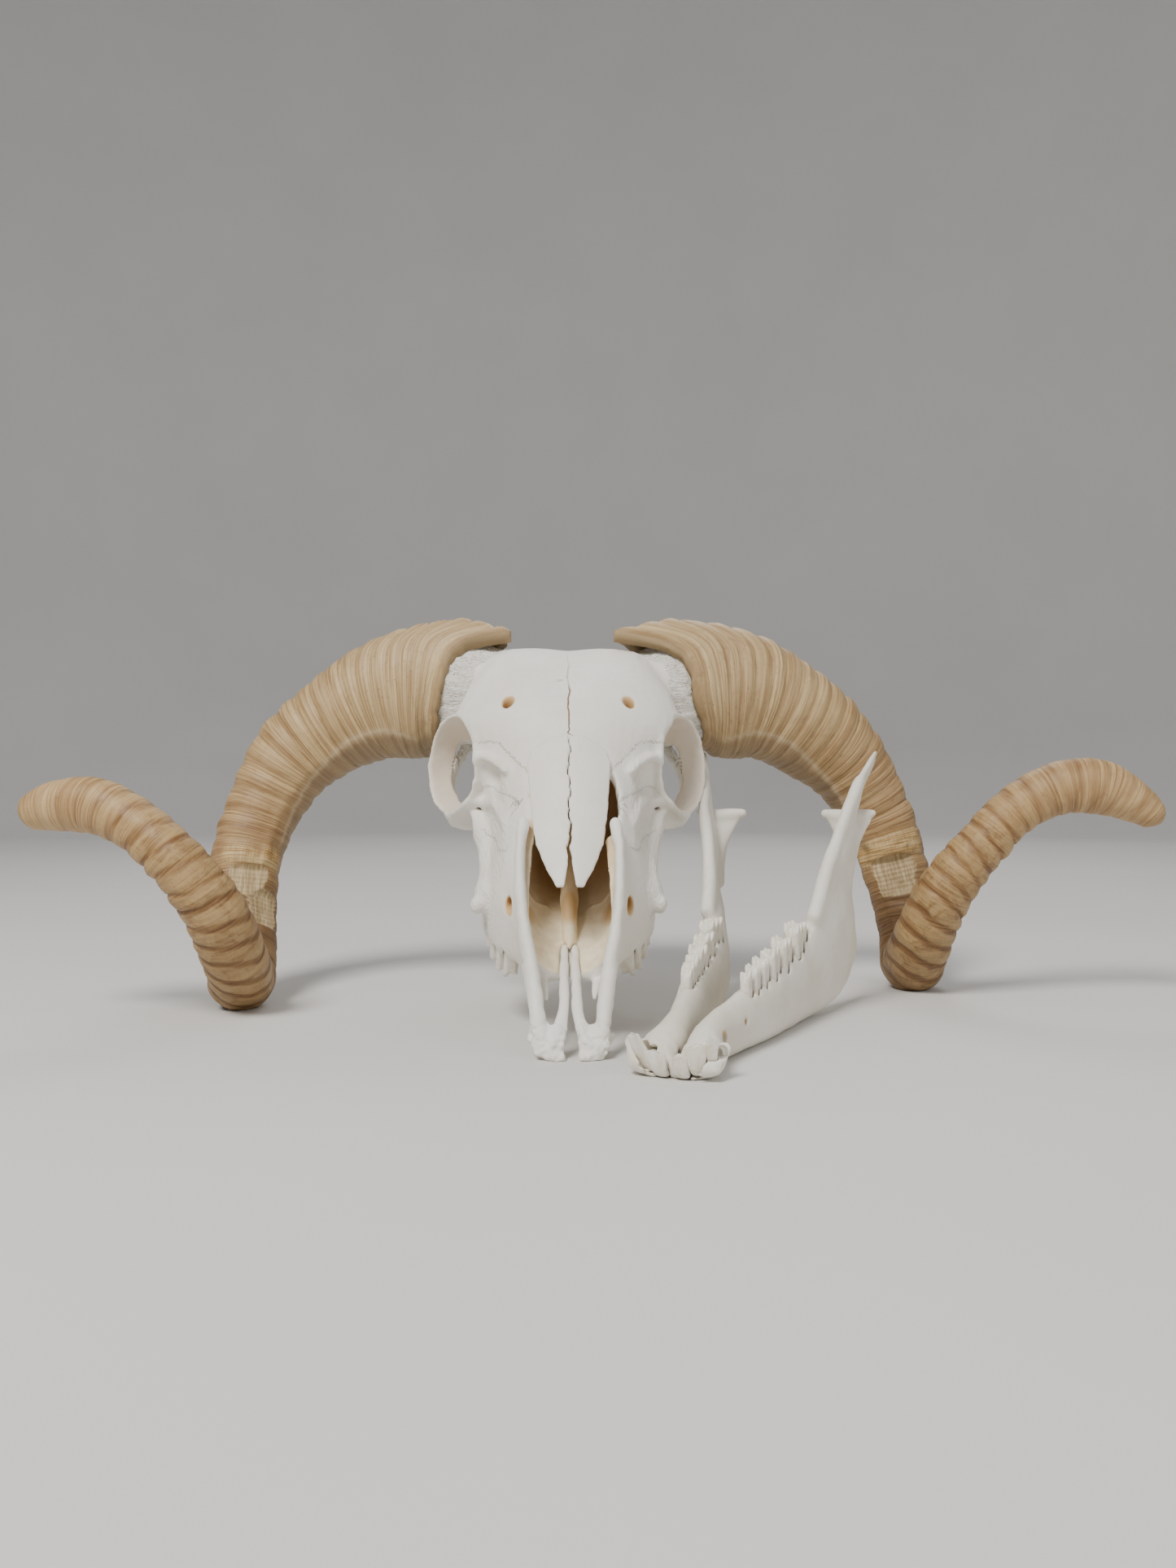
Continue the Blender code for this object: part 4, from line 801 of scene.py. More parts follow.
def upper_tooth(index, grow=0.0):
    start, length, half = UPPER_TEETH[index]
    y = start + length / 2
    x = float(np.interp(y, UPPER_LINE_Y, UPPER_LINE_X))
    low = (x, y, UPPER_ROOT, length / 2 - 0.3, half * 0.86)
    high = (x + 1.0, y, -UPPER_CROWN_REACH[index], length / 2 - 0.2, half * 0.9)
    return tooth_block(low, high, UPPER_COLUMNS[index], index, grow)


def lower_tooth(index, grow=0.0):
    """In the jaw frame with its first two axes swapped: v, u, w."""
    start, length, half = LOWER_TEETH[index]
    u = start + length / 2
    v = float(np.interp(u, LOWER_LINE_U, LOWER_LINE_V))
    w = float(np.interp(u, LOWER_RIM_U, LOWER_RIM_W))
    low = (v, u, w - LOWER_ROOT, length / 2 - 0.3, half * 0.86)
    high = (v - 0.4, u, w + LOWER_CROWN, length / 2 - 0.15, half * 0.95)
    return tooth_block(low, high, LOWER_COLUMNS[index], index + 6, grow)


def swap_rows(rows):
    return [(r[1], r[0]) + tuple(r[2:]) for r in rows]


def flip_x(points):
    return points * (-1, 1, 1)


PALATE = {"right": palate_to_table, "left": lambda p: palate_to_table(flip_x(p))}


def jaw_place(side):
    hand = 1 if side == "right" else -1
    return lambda p: jaw_to_table(p[:, [1, 0, 2]], hand)


def premax_shapes():
    return [(PREMAX_BODY, 0), (PREMAX_RIM, 2), (PREMAX_BAR, 2), (PREMAX_FOOT, 2), (PREMAX_PRONG, 1.5)]


def socket_rows():
    axis = unit(np.array(ORBIT_AXIS))
    return [(*(np.array(ORBIT_CENTRE) + axis * t), r, r) for t, r in ORBIT_SOCKET]


def cranium_fields():
    """The bone on the side x above zero, and its hollows."""
    low, high = (0, 18, -24), (150, 282, 152)
    bone = Field(low, high, SKULL_STEP)
    bone.add(skull_body)
    for rows, blend in ((CHEEK_RIDGE, 5), (CHEEK_ARCH, 3), (NAPE_CREST, 5), (JUGULAR_PROCESS, 4),
                        (PALATE_POINT, 3)):
        bone.add(tube(rows), blend)
    bone.add(orbit_cup, 2.5)
    for place, blend in ((BULLA, 3), (CONDYLE, 4), (FACIAL_TUBER, 6), (SOCKET_SWELLING, 5),
                         (TUBER_KNOB, 1.5)):
        bone.add(ball(place), blend)
    bone.cut(ball(TEAR_HOLLOW), 4)
    bone.cut(ball(UNDER_CHEEK), 5)
    for rows, blend in ((CHEEK_CREST, 4), (TEAR_RIDGE, 4), (TEAR_LIP, 2)):
        bone.add(tube(rows), blend)
    hollow = Field(low, high, SKULL_STEP)
    for rows in (NOSE_HOLLOW, THROAT_HOLLOW, BRAIN_DOOR):
        hollow.add(tube(rows), 2)
    hollow.add(ball(BRAIN), 3)
    hollow.add(nose_mouth, 0)
    hollow.add(tube(socket_rows()), 0)
    hollow.add(ball((ORBIT_CENTRE, (ORBIT_RADIUS,) * 3)), 0)
    for place in ORBIT_DOOR:
        hollow.add(ball(place), 1.5)
    hollow.add(tube(TEMPLE_HOLLOW), 0)
    for rows in (FOREHEAD_HOLE, CHEEK_HOLE):
        hollow.add(tube(rows, margin=3), 0)
    return bone, hollow


def whole(half):
    """Both sides from the side x above zero."""
    axes = [np.concatenate([-half.axes[0][:0:-1], half.axes[0]])] + half.axes[1:]
    return Field.of(half.step, axes, np.concatenate([half.values[:0:-1], half.values]))


def nose_slit(field):
    """The open slit beside the right nose bone."""
    start, end, width = NOSE_SLIT
    cut, (x, y, _) = field.window((12, start - 2, 40), (34, end + 2, 90))
    edge = nasal_values(y)[2] + GAP
    t = np.clip((y - start) / (end - start), 0, 1)
    reach = width * np.clip(np.sin(np.pi * t), 0, 1) ** 0.6 + 0.5 * np.sin(y * 1.3)
    sides = np.maximum(edge - 1 - x, x - edge - reach)
    return cut, np.maximum(sides, np.maximum(start - y, y - end)).astype(np.float32)


def corner_shade_share(bone):
    """How much bone lies round each place: near 1 in narrow corners, near 0 on free edges. It drives the
    ochre painted shade, partly dirt, in the corners.
    """
    solid = np.clip(0.5 - bone.values[::COVER_SKIP, ::COVER_SKIP, ::COVER_SKIP] / 3.0, 0, 1)
    for _ in range(COVER_ROUNDS):
        for axis in range(3):
            v = np.moveaxis(solid, axis, 0)
            v[1:-1] = (v[:-2] + v[1:-1] + v[2:]) / 3
    return Field.of(SKULL_STEP * COVER_SKIP, [axis[::COVER_SKIP] for axis in bone.axes], solid)


def make_cranium():
    bone, hollow = [whole(half) for half in cranium_fields()]
    for rows in (HORN_LEFT, HORN_RIGHT):
        bone.add(core(rows, 0.0, CORE_ROOT, CORE_TAPER), 5)
        hollow.add(core(rows, -SINUS_WALL, SINUS_REACH, SINUS_TAPER), 2)
    bone.values = -soft_min(-bone.values, hollow.values, 1.2)
    blades = Field((0, 55, -12), (26, 190, 75), SKULL_STEP)
    for rows in (VOMER_BLADE, PTERYGOID_PLATE, TURBINATE):
        blades.add(tube(rows), 1)
    blades.add(nose_sheet, 0.3)
    blades = whole(blades)
    first = [int(round((b[0] - a[0]) / SKULL_STEP)) for a, b in zip(bone.axes, blades.axes)]
    spot = tuple(slice(start, start + n) for start, n in zip(first, blades.values.shape))
    bone.values[spot] = soft_min(bone.values[spot], blades.values, 1.0)
    bone.cut(nasal_seat, 0)
    bone.cut(lambda field: mirrored_shape(nasal_seat, field), 0)
    bone.cut(nose_slit, 0.8)
    for rows, blend in premax_shapes():
        for flip in (1, -1):
            turned = [(r[0] * flip,) + tuple(r[1:]) for r in rows]
            bone.cut(tube(turned, grow=0.5, margin=3), 0)
    for index in range(len(UPPER_TEETH)):
        socket = upper_tooth(index, 0.5)
        bone.cut(socket, 0)
        bone.cut(lambda field, s=socket: mirrored_shape(s, field), 0)
    shade = corner_shade_share(bone)
    return grown("cranium_bone", bone, palate_to_table, CRANIUM_TRIANGLES), hollow, shade


def mirrored_shape(shape, field):
    """A shape of the right side, seen in a field that spans both sides, on the left."""
    axes = [-field.axes[0][::-1]] + field.axes[1:]
    cut, distance = shape(Field.of(field.step, axes, field.values[::-1]))
    n = len(field.axes[0])
    return (slice(n - cut[0].stop, n - cut[0].start),) + cut[1:], distance[::-1]


# Other bones and teeth

def midline_wander(y):
    """How far the crack between the halves of the face strays to the right."""
    waves = 0.55 * np.sin(y * 0.31 + 1) + 0.3 * np.sin(y * 0.83) + 0.16 * np.sin(y * 1.9 + 2)
    return waves * step_up(y, 62, 76)


def nasal_bone(field, hand):
    cut, (x, y, z) = field.window((-2, 52, 38), (24, 138, 88))
    upper, under, inner, wide = nasal_heights(x, y)
    wave = 0.25 * np.sin(y * 0.9) + 0.2 * np.sin(y * 2.3 + 1)
    near = inner + hand * midline_wander(y) + 0.07 * np.sin(y * 3.1 + hand)
    sides = np.maximum(near - x, x - wide - 0.3 * wave)
    ends = np.maximum(NASAL[0, 0] - y, y - NASAL[-1, 0] - 0.8 * np.sin(x * 2.1))
    thick = np.maximum(z - upper, under - z) * 0.92
    return cut, np.maximum(thick, np.maximum(sides, ends)).astype(np.float32)


def make_nasal(side):
    field = Field((-2, 52, 38), (24, 138, 88), THIN_STEP)
    field.add(lambda grid: nasal_bone(grid, 1 if side == "right" else -1))
    return grown("nasal_" + side, field, PALATE[side], NASAL_TRIANGLES)


def make_premaxilla(side):
    field = Field((-3, -10, -8), (28, 96, 70), THIN_STEP)
    for rows, blend in premax_shapes():
        field.add(tube(rows), blend)
    seed = 3 if side == "left" else 8
    field.roughen((-3, -10, -8), (28, 12, 9), 0.8, 2.4, seed)
    field.roughen((-3, -10, -8), (28, 8, 7), 0.8, 1.3, seed + 2)
    field.roughen((-3, -10, -8), (28, 96, 70), 0.35, 4.5, seed + 1)
    return grown("premaxilla_" + side + "_bone", field, PALATE[side], PREMAX_TRIANGLES)


def make_upper_tooth(side, index):
    start, length, _ = UPPER_TEETH[index]
    field = Field((14, start - 3, -17), (42, start + length + 3, 10), TOOTH_STEP)
    field.add(upper_tooth(index))
    return grown("upper_molar_%s_%d" % (side, index + 1), field, PALATE[side], TOOTH_TRIANGLES)


def make_lower_tooth(side, index):
    start, length, _ = LOWER_TEETH[index]
    field = Field((6, start - 3, 12), (32, start + length + 3, 60), TOOTH_STEP)
    field.add(lower_tooth(index))
    return grown("lower_molar_%s_%d" % (side, index + 1), field, jaw_place(side), TOOTH_TRIANGLES)


def incisor_axes(outward, rows, count):
    """Path of a front tooth in the swapped jaw frame, with its directions across and through."""
    path, _ = smooth_row(swap_rows(rows), count)
    ahead = unit(np.gradient(path[:, :3], axis=0))
    level = unit(np.array([1.0, outward, 0.0]))
    across = unit(level - (ahead @ level)[:, None] * ahead)
    return path, ahead, across, unit(np.cross(across, ahead))


def incisor_tube(outward, rows, grow):
    path, ahead, across, through = incisor_axes(outward, rows, 14)
    return limb(path[:, :3], across, through, path[:, 3] + grow, path[:, 4] + grow, 3)


def make_incisor(label):
    """A blade with a worn edge, lofted from the root to the tip."""
    side, outward, rows = INCISORS[label]
    count, sides = ((48, 32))
    path, ahead, across, through = incisor_axes(outward, rows, count)
    turn = np.linspace(0, 2 * math.pi, sides, endpoint=False)
    c, s = np.cos(turn), np.sin(turn)
    u, v = np.sign(c) * np.abs(c) ** 0.8, np.sign(s) * np.abs(s) ** 0.8
    t = np.linspace(0, 1, count)[:, None]
    close = np.sqrt(np.clip(1 - np.clip((t - 0.97) / 0.03, 0, 1) ** 2, 0.05, 1))
    bow = 0.35 * path[:, 3:4] * (1 - u ** 2) * step_up(t, 0.3, 0.7)
    wide = path[:, 3:4] * close * (1 + 0.03 * np.sin(9 * t + len(label)))
    rings = path[:, None, :3] + across[:, None, :] * (u * wide)[..., None]
    rings = rings + through[:, None, :] * (v * path[:, 4:5] * close - bow * 0.4)[..., None]
    tips = np.stack([rings[0].mean(axis=0), rings[-1].mean(axis=0)])
    edge = 0.5 * np.sin(u * 3.1 + len(label)) * step_up(t, 0.8, 1.0)
    rings = rings + ahead[:, None, :] * edge[..., None]
    points = np.concatenate([rings.reshape(-1, 3), tips])
    return as_capped("front_tooth_" + label, jaw_place(side)(points), count, sides)


def make_jaw(side):
    """In the jaw frame with its first two axes swapped: v, u, w."""
    bone = Field((-4, -6, -12), (58, 208, 140), JAW_STEP)
    bone.add(tube(swap_rows(JAW_BODY)))
    bone.add(tube(swap_rows(JAW_RAMUS), up=(RAMUS_FLARE, 1, 0)), 6)
    for rows, blend in ((RAMUS_EDGE, 3), (JAW_HOOK, 3), (JAW_NECK, 3)):
        bone.add(tube(swap_rows(rows), up=(0, 1, 0)), blend)
    bone.add(tube(swap_rows(JAW_HEAD)), 1.5)
    bone.add(tube(swap_rows(CHIN_RIM)), 3)
    for rows in (CHIN_HOLE, SIDE_HOLE):
        bone.cut(tube(swap_rows(rows), margin=3), 0.6)
    seed = 21 if side == "left" else 33
    bone.roughen((-4, -6, -12), (58, 14, 20), 0.5, 2.6, seed)
    bone.roughen((-4, -6, -12), (58, 208, 140), 0.3, 9.0, seed + 1)
    for index in range(len(LOWER_TEETH)):
        bone.cut(lower_tooth(index, 0.45), 0)
    for where, outward, rows in INCISORS.values():
        if where == side:
            bone.cut(incisor_tube(outward, rows, 0.4), 0)
    for rows in EMPTY_SOCKETS[side]:
        bone.cut(tube(swap_rows(rows), margin=3), 0.4)
    return grown("jaw_" + side, bone, jaw_place(side), JAW_TRIANGLES)


# Horns

def ring_phase(run):
    """Growth rings counted along a horn: crowded at the head, wide apart on the outer bend."""
    return np.cumsum(np.diff(run, prepend=run[0]) / np.interp(run, *zip(*RING_WIDTH)))


HORN_CUTS = {
    "left": [(182, 207, -104, 14.0), (196, 226, -136, 13.8)],
    "right": [(180, 209, 112, 13.6)],
}
HORN_FRAY = {"left": (180, 7, -150, -70), "right": (177, 8, 60, 172)}
HORN_CREASE = {
    "left": [(0, -138), (19, -135), (45, -120), (77, -120), (104, -133), (151, -151), (190, -160),
             (440, -160)],
    "right": [(0, 138), (19, 136), (45, 124), (77, 124), (104, 136), (151, 152), (190, 160), (440, 160)],
}
# Width of each growth ring and strength of their relief, by how far along they lie
RING_WIDTH = [(0, 7.5), (50, 8.5), (110, 11), (170, 15), (240, 11), (330, 9.5), (436, 12)]
RING_STRENGTH = [(0, 1.3), (60, 1.3), (120, 1.6), (180, 1.15), (260, 1.25), (340, 1.35), (400, 0.6),
                 (436, 0.15)]
# Low ridge round each horn, in degrees, and the pit in the right one: along, angle, depth, width
HORN_KEEL = {"left": -128, "right": 144}
HORN_PIT = (176, 165, 3.2, 4.6)
HOLLOW_RINGS = 26


def around(degrees):
    """An angle brought between -180 and 180 degrees."""
    return (degrees + 180) % 360 - 180


def turn_gap(turn, low, high):
    """How far an angle in degrees lies outside a span, going round."""
    return np.maximum(np.abs(around(turn - (low + high) / 2)) - (high - low) / 2, 0)


def mouth_edge(side, turn):
    """How far along the horn the sheath's mouth lies, round its edge."""
    rows = np.array(MOUTH_EDGE[side], float)
    angle = np.degrees(turn) * (1 if side == "right" else -1)
    rough = np.interp(angle % 360, np.append(rows[:, 0], 360), np.append(rows[:, 1], rows[0, 1]))
    for _ in range(3):
        rough = (np.roll(rough, 1, axis=-1) + 2 * rough + np.roll(rough, -1, axis=-1)) / 4
    return rough


def make_horn(side, rows):
    seed = 40 if side == "left" else 60
    front = math.radians(-90 if side == "left" else 90)
    path, run, centres, ahead, wides, deeps = horn_frames(rows, HORN_RINGS)
    turn = np.linspace(0, 2 * math.pi, HORN_SIDES, endpoint=False)[None, :]
    degrees = np.degrees(turn)
    s = run[:, None]
    long = s + np.zeros_like(turn)
    a, b = path[:, 3:4], path[:, 4:5]
    size = np.sqrt(a * b)
    round_place = np.stack([long, size * np.cos(turn), size * np.sin(turn)], axis=-1)
    sway = 0.42 * np.cos(turn - front + 0.9) + 0.34 * layers(round_place, 20, seed + 14)
    phase = ring_phase(run)[:, None] + 0.26 * layers(round_place * (0.35, 1, 1), 30, seed)
    phase = phase + step_up(s, 205, 240) * sway
    humps = np.abs(np.sin(np.pi * phase))
    number = np.floor(phase)
    vary = 0.75 + 0.35 * np.sin(number * 2.7 + seed) + 0.2 * np.sin(number * 5.1 + 2 * np.cos(turn))
    height = 0.7 + 0.5 * step_up(np.cos(turn), -0.2, 1.0) + 0.2 * step_up(np.cos(turn - front), 0.1, 1.0)
    fade = np.interp(s, *zip(*RING_STRENGTH))
    relief = (humps ** 0.75 - 0.6) * height * vary * fade
    fine = np.abs(np.sin(np.pi * (phase * 3.4 + 0.3 * noise(round_place, 9, seed + 2)))) ** 0.8 - 0.6
    worn = np.clip((run[-1] - s) / 90, 0.2, 1)
    relief = relief + (0.16 * fine + 0.12 * noise(round_place, 3.2, seed + 3)) * worn
    relief = relief + 0.55 * layers(round_place, 24, seed + 4)
    relief = relief + 0.10 * noise(round_place * (1, 0.14, 0.14), 1.3, seed + 5)
    keel = np.radians(around(degrees - HORN_KEEL[side]))
    relief = relief + 0.9 * np.exp(-(keel / 0.16) ** 2) * step_up(s, 10, 60)
    x, y = (a + relief) * np.cos(turn), (b + relief) * np.sin(turn)

    if side == "right":
        pit_run, pit_angle, pit_depth, pit_width = HORN_PIT
        away = np.hypot(s - pit_run, np.radians(around(degrees - pit_angle)) * size)
        sunk = 1 - pit_depth * np.exp(-(away / pit_width) ** 2) / size
        x, y = x * sunk, y * sunk
    past = around(degrees - np.interp(s, *zip(*HORN_CREASE[side])))
    # The underside past the crease is painted darker and greyer: partly the horn's own tone, partly painted
    # shade
    under = step_up(past if side == "right" else -past, -6, 10)
    under = under * (1 - step_up(np.abs(past), 60, 100)) * (1 - step_up(s, 165, 185))
    # A pale line along the crease of the horn: a painted highlight
    line = np.exp(-(np.radians(past) * size / 1.3) ** 2)
    line = line * step_up(s, 8, 25) * (1 - step_up(s, 160, 175))

    flat = np.zeros_like(long)
    for start, end, angle, depth in HORN_CUTS[side]:
        angle = math.radians(angle)
        across = x * math.cos(angle) + y * math.sin(angle)
        inside = step_up(s, start - 3, start + 5) * (1 - step_up(s, end - 5, end + 3))
        jag = 0.5 * layers(round_place, 5, seed + 7)
        limit = depth + jag + (1 - inside) * 12 + (inside <= 0) * 99 + 0.25 * np.sin(s * 2.2)
        over = np.maximum(across - limit, 0)
        x, y = x - over * math.cos(angle), y - over * math.sin(angle)
        flat = np.maximum(flat, step_up(over, 0.05, 0.8))
    start, width, low, high = HORN_FRAY[side]
    fray = np.exp(-((s + 3 * noise(round_place, 7, seed + 8) - start) / width) ** 2)
    fray = fray * (1 - step_up(turn_gap(degrees, low, high), 0, 25)) * (1 - flat)
    lift = 1 + fray * (0.8 + 0.9 * layers(round_place, 3.5, seed + 9)) / np.maximum(size, 1)

    edge = mouth_edge(side, turn)
    flat_place = round_place * (0, 1, 1)
    rag = layers(flat_place, 9, seed + 11) * 2.0 + layers(flat_place, 2.5, seed + 12) * 1.1
    slant = edge * np.clip(1 - s / MOUTH_FADE, 0, 1) + rag * np.clip(1 - s / RAG_FADE, 0, 1)
    tip = np.clip((run[-1] - s) / 5.5, 0, 1)
    close = np.sqrt(np.clip(1 - (1 - tip) ** 2, 0.0, 1))
    x, y = x * lift * close, y * lift * close
    place = centres[:, None, :] + wides[:, None, :] * x[..., None] + deeps[:, None, :] * y[..., None]
    place = place + ahead[:, None, :] * slant[..., None]

    reach = run_at_row(rows, len(CORE_SHARE) - 1)
    depth = np.linspace(0, reach + 8, HOLLOW_RINGS)
    share = np.interp(depth, np.linspace(0, reach, len(CORE_SHARE)), CORE_SHARE)
    share = share * np.sqrt(np.clip((reach + 8.5 - depth) / 9, 0.02, 1))
    ia, ib = [(np.interp(depth, run, path[:, k]) * share + SHEATH_PLAY)[:, None] for k in (3, 4)]
    middle, forth, up, out = [np.stack([np.interp(depth, run, row) for row in part.T], axis=1)[:, None, :]
                              for part in (centres, ahead, wides, deeps)]
    d = depth[:, None]
    inner_slant = edge * np.clip(1 - d / MOUTH_FADE, 0, 1) + rag[:1] * np.clip(1 - d / RAG_FADE, 0, 1)
    hollow = middle - up * core_drop(d)[..., None] + up * (ia * np.cos(turn))[..., None]
    hollow = hollow + out * (ib * np.sin(turn))[..., None] + forth * inner_slant[..., None]

    rings = np.concatenate([hollow[::-1], place])
    count, sides = rings.shape[:2]
    caps = np.stack([rings[0].mean(axis=0), rings[-1].mean(axis=0)])
    points = np.concatenate([rings.reshape(-1, 3), caps])
    points[:, 2] = np.maximum(points[:, 2], 0.0)
    piece = as_capped("horn_" + side, points, count, sides)
    for label, value, within in (("ring", humps ** 0.62 * fade + 0.12 * fine, 0), ("run", s / run[-1], 0),
                                 ("cut", flat, 0), ("fray", np.clip(fray * 1.3, 0, 1), 0),
                                 ("inside", np.clip(1 - s / 3.0, 0, 1), 1), ("under", under, 0),
                                 ("crease_highlight", line, 0), ("mouth", np.exp(-((s - 1.5) / 2.2) ** 2), 0)):
        told = np.full((HOLLOW_RINGS, sides), within), value + np.zeros_like(long), np.zeros(2)
        mark(piece, label, np.concatenate([part.ravel() for part in told]))
    blank = np.zeros((HOLLOW_RINGS * sides, 3))
    mark(piece, "grain", np.concatenate([blank, round_place.reshape(-1, 3), blank[:2]]))
    return piece


def run_at_row(rows, index):
    """Run along a horn at one of its rows."""
    path, run = smooth_row(rows, 2000)
    return run[np.argmin(np.linalg.norm(path[:, :3] - np.array(rows[index][:3]), axis=1))]


def ring_quads(count, sides):
    """Quads between neighbouring rings."""
    i, k = [v.ravel() for v in np.meshgrid(np.arange(count - 1), np.arange(sides), indexing="ij")]
    after = (k + 1) % sides
    return np.stack([i * sides + k, i * sides + after, (i + 1) * sides + after, (i + 1) * sides + k], axis=1)


def as_capped(name, points, count, sides):
    """A skin of rings whose two ends are closed by fans."""
    quads = ring_quads(count, sides)
    last = len(points)
    ring = np.arange(sides)
    after = (ring + 1) % sides
    start_fan = np.stack([np.full(sides, last - 2), after, ring], axis=1)
    base = (count - 1) * sides
    end_fan = np.stack([np.full(sides, last - 1), base + ring, base + after], axis=1)
    halves = np.concatenate([quads[:, [0, 1, 2]], quads[:, [0, 2, 3]]])
    return as_mesh(name, points, np.concatenate([halves, start_fan, end_fan]))


# Marks on the cranium for its material, in the palate frame with x mirrored to the right side

FRONTAL_SEAM = [(0, 200, 97), (0.4, 186, 96), (-0.3, 170, 93.5), (0.5, 158, 90), (-0.2, 146, 86.5),
                (0.2, 133, 82)]
SIDE_SEAMS = [
    [(44.7, 148, 69), (38, 144, 71.4), (34, 141, 72.5), (30.7, 136, 71.4), (28, 132, 70.4), (24.6, 127, 69.3),
     (21.8, 122, 69)],
    [(45.5, 143, 45.6), (42.7, 143, 47), (38, 135, 52), (34.7, 127.7, 53), (30, 118, 56.7),
     (28.3, 115.5, 57.3), (24, 108, 59)],
    [(67, 178.7, 35.6), (64, 176, 32.5), (60, 177.7, 31.8), (58, 180.5, 33.2)],
    [(26, 104, 52.8), (25, 105, 54.5), (23.4, 105, 56.5)],
    [(41, 128, 30), (36, 112, 36), (33, 98, 38), (29, 92, 41)],
    [(48, 206, 58), (44, 216, 66), (36, 226, 70), (22, 232, 73), (0, 233, 75)],
]


def seam_distance(points, normals, line):
    """Signed distance along the surface to a line of points, and how far along the line that is."""
    line = np.array(line, float)
    dense = np.concatenate([a + (b - a) * np.linspace(0, 1, 14, endpoint=False)[:, None]
                            for a, b in zip(line, line[1:])] + [line[-1:]])
    best = np.full(len(points), 1e9)
    signed = np.full(len(points), 9.0)
    along = np.zeros(len(points))
    near = np.all((points > dense.min(axis=0) - 9) & (points < dense.max(axis=0) + 9), axis=1)
    index = np.nonzero(near)[0]
    p, n = points[index], normals[index]
    start = 0.0
    for a, b in zip(dense, dense[1:]):
        e = b - a
        length = np.linalg.norm(e)
        t = np.clip(((p - a) @ e) / max(e @ e, 1e-9), 0, 1)
        away = p - a - t[:, None] * e
        size = np.linalg.norm(away, axis=1)
        side = np.sign((np.cross(n, e) * away).sum(axis=1))
        closer = size < best[index]
        best[index[closer]] = size[closer]
        signed[index[closer]] = (size * side)[closer]
        along[index[closer]] = start + (t * length)[closer]
        start += length
    return signed, along


def core_places(points, rows):
    """Places along, up and out from the root of a horn's axis, in mm, and the root's half widths."""
    path, _, centres, ahead, wides, deeps = horn_frames(rows, 200)
    away = points - centres[0]
    return away @ ahead[0], away @ wides[0], away @ deeps[0], path[0, 3:5]


def core_marks(points):
    """Share of core bone, and places along, round and out from the axis of the nearer core, in mm."""
    band, comb = np.zeros(len(points)), np.zeros_like(points)
    for rows, hand in ((HORN_LEFT, -1), (HORN_RIGHT, 1)):
        along, up, out, (wide, deep) = core_places(points, rows)
        lean = up / np.maximum(np.hypot(up, out), 1e-6)
        edge = -9.5 - 12 * step_up(lean, 0.55, 1.0) + 1.8 * layers(points, 9, 5)
        here = step_up(along - edge, -0.8, 0.8) * (1 - step_up(np.hypot(up / wide, out / deep), 1.25, 1.4))
        band = np.maximum(band, here * (points[:, 0] * hand > 20))
        ring = np.stack([along, np.arctan2(out, up) * 25, np.hypot(up, out)], axis=1)
        comb = np.where(points[:, :1] * hand > 0, ring, comb)
    return band, comb


def cranium_seams(spot, facing, mirrored, mirrored_facing):
    """Distance to the nearest seam, how far along it that is, and the push of the frontal crack."""
    seam, run = seam_distance(spot, facing, FRONTAL_SEAM)
    crack = np.abs(seam - 0.8 * midline_wander(spot[:, 1]) + 0.3 * noise(spot, 1.2, 19))
    push = np.exp(-(crack / 0.6) ** 2) * 0.36 * (np.abs(seam) < 4)
    on_front = np.abs(seam) < 6
    for line in SIDE_SEAMS:
        side, side_run = seam_distance(mirrored, mirrored_facing, line)
        closer = np.abs(side) < np.abs(seam)
        seam, run = np.where(closer, side, seam), np.where(closer, side_run, run)
    return seam, run, push, on_front


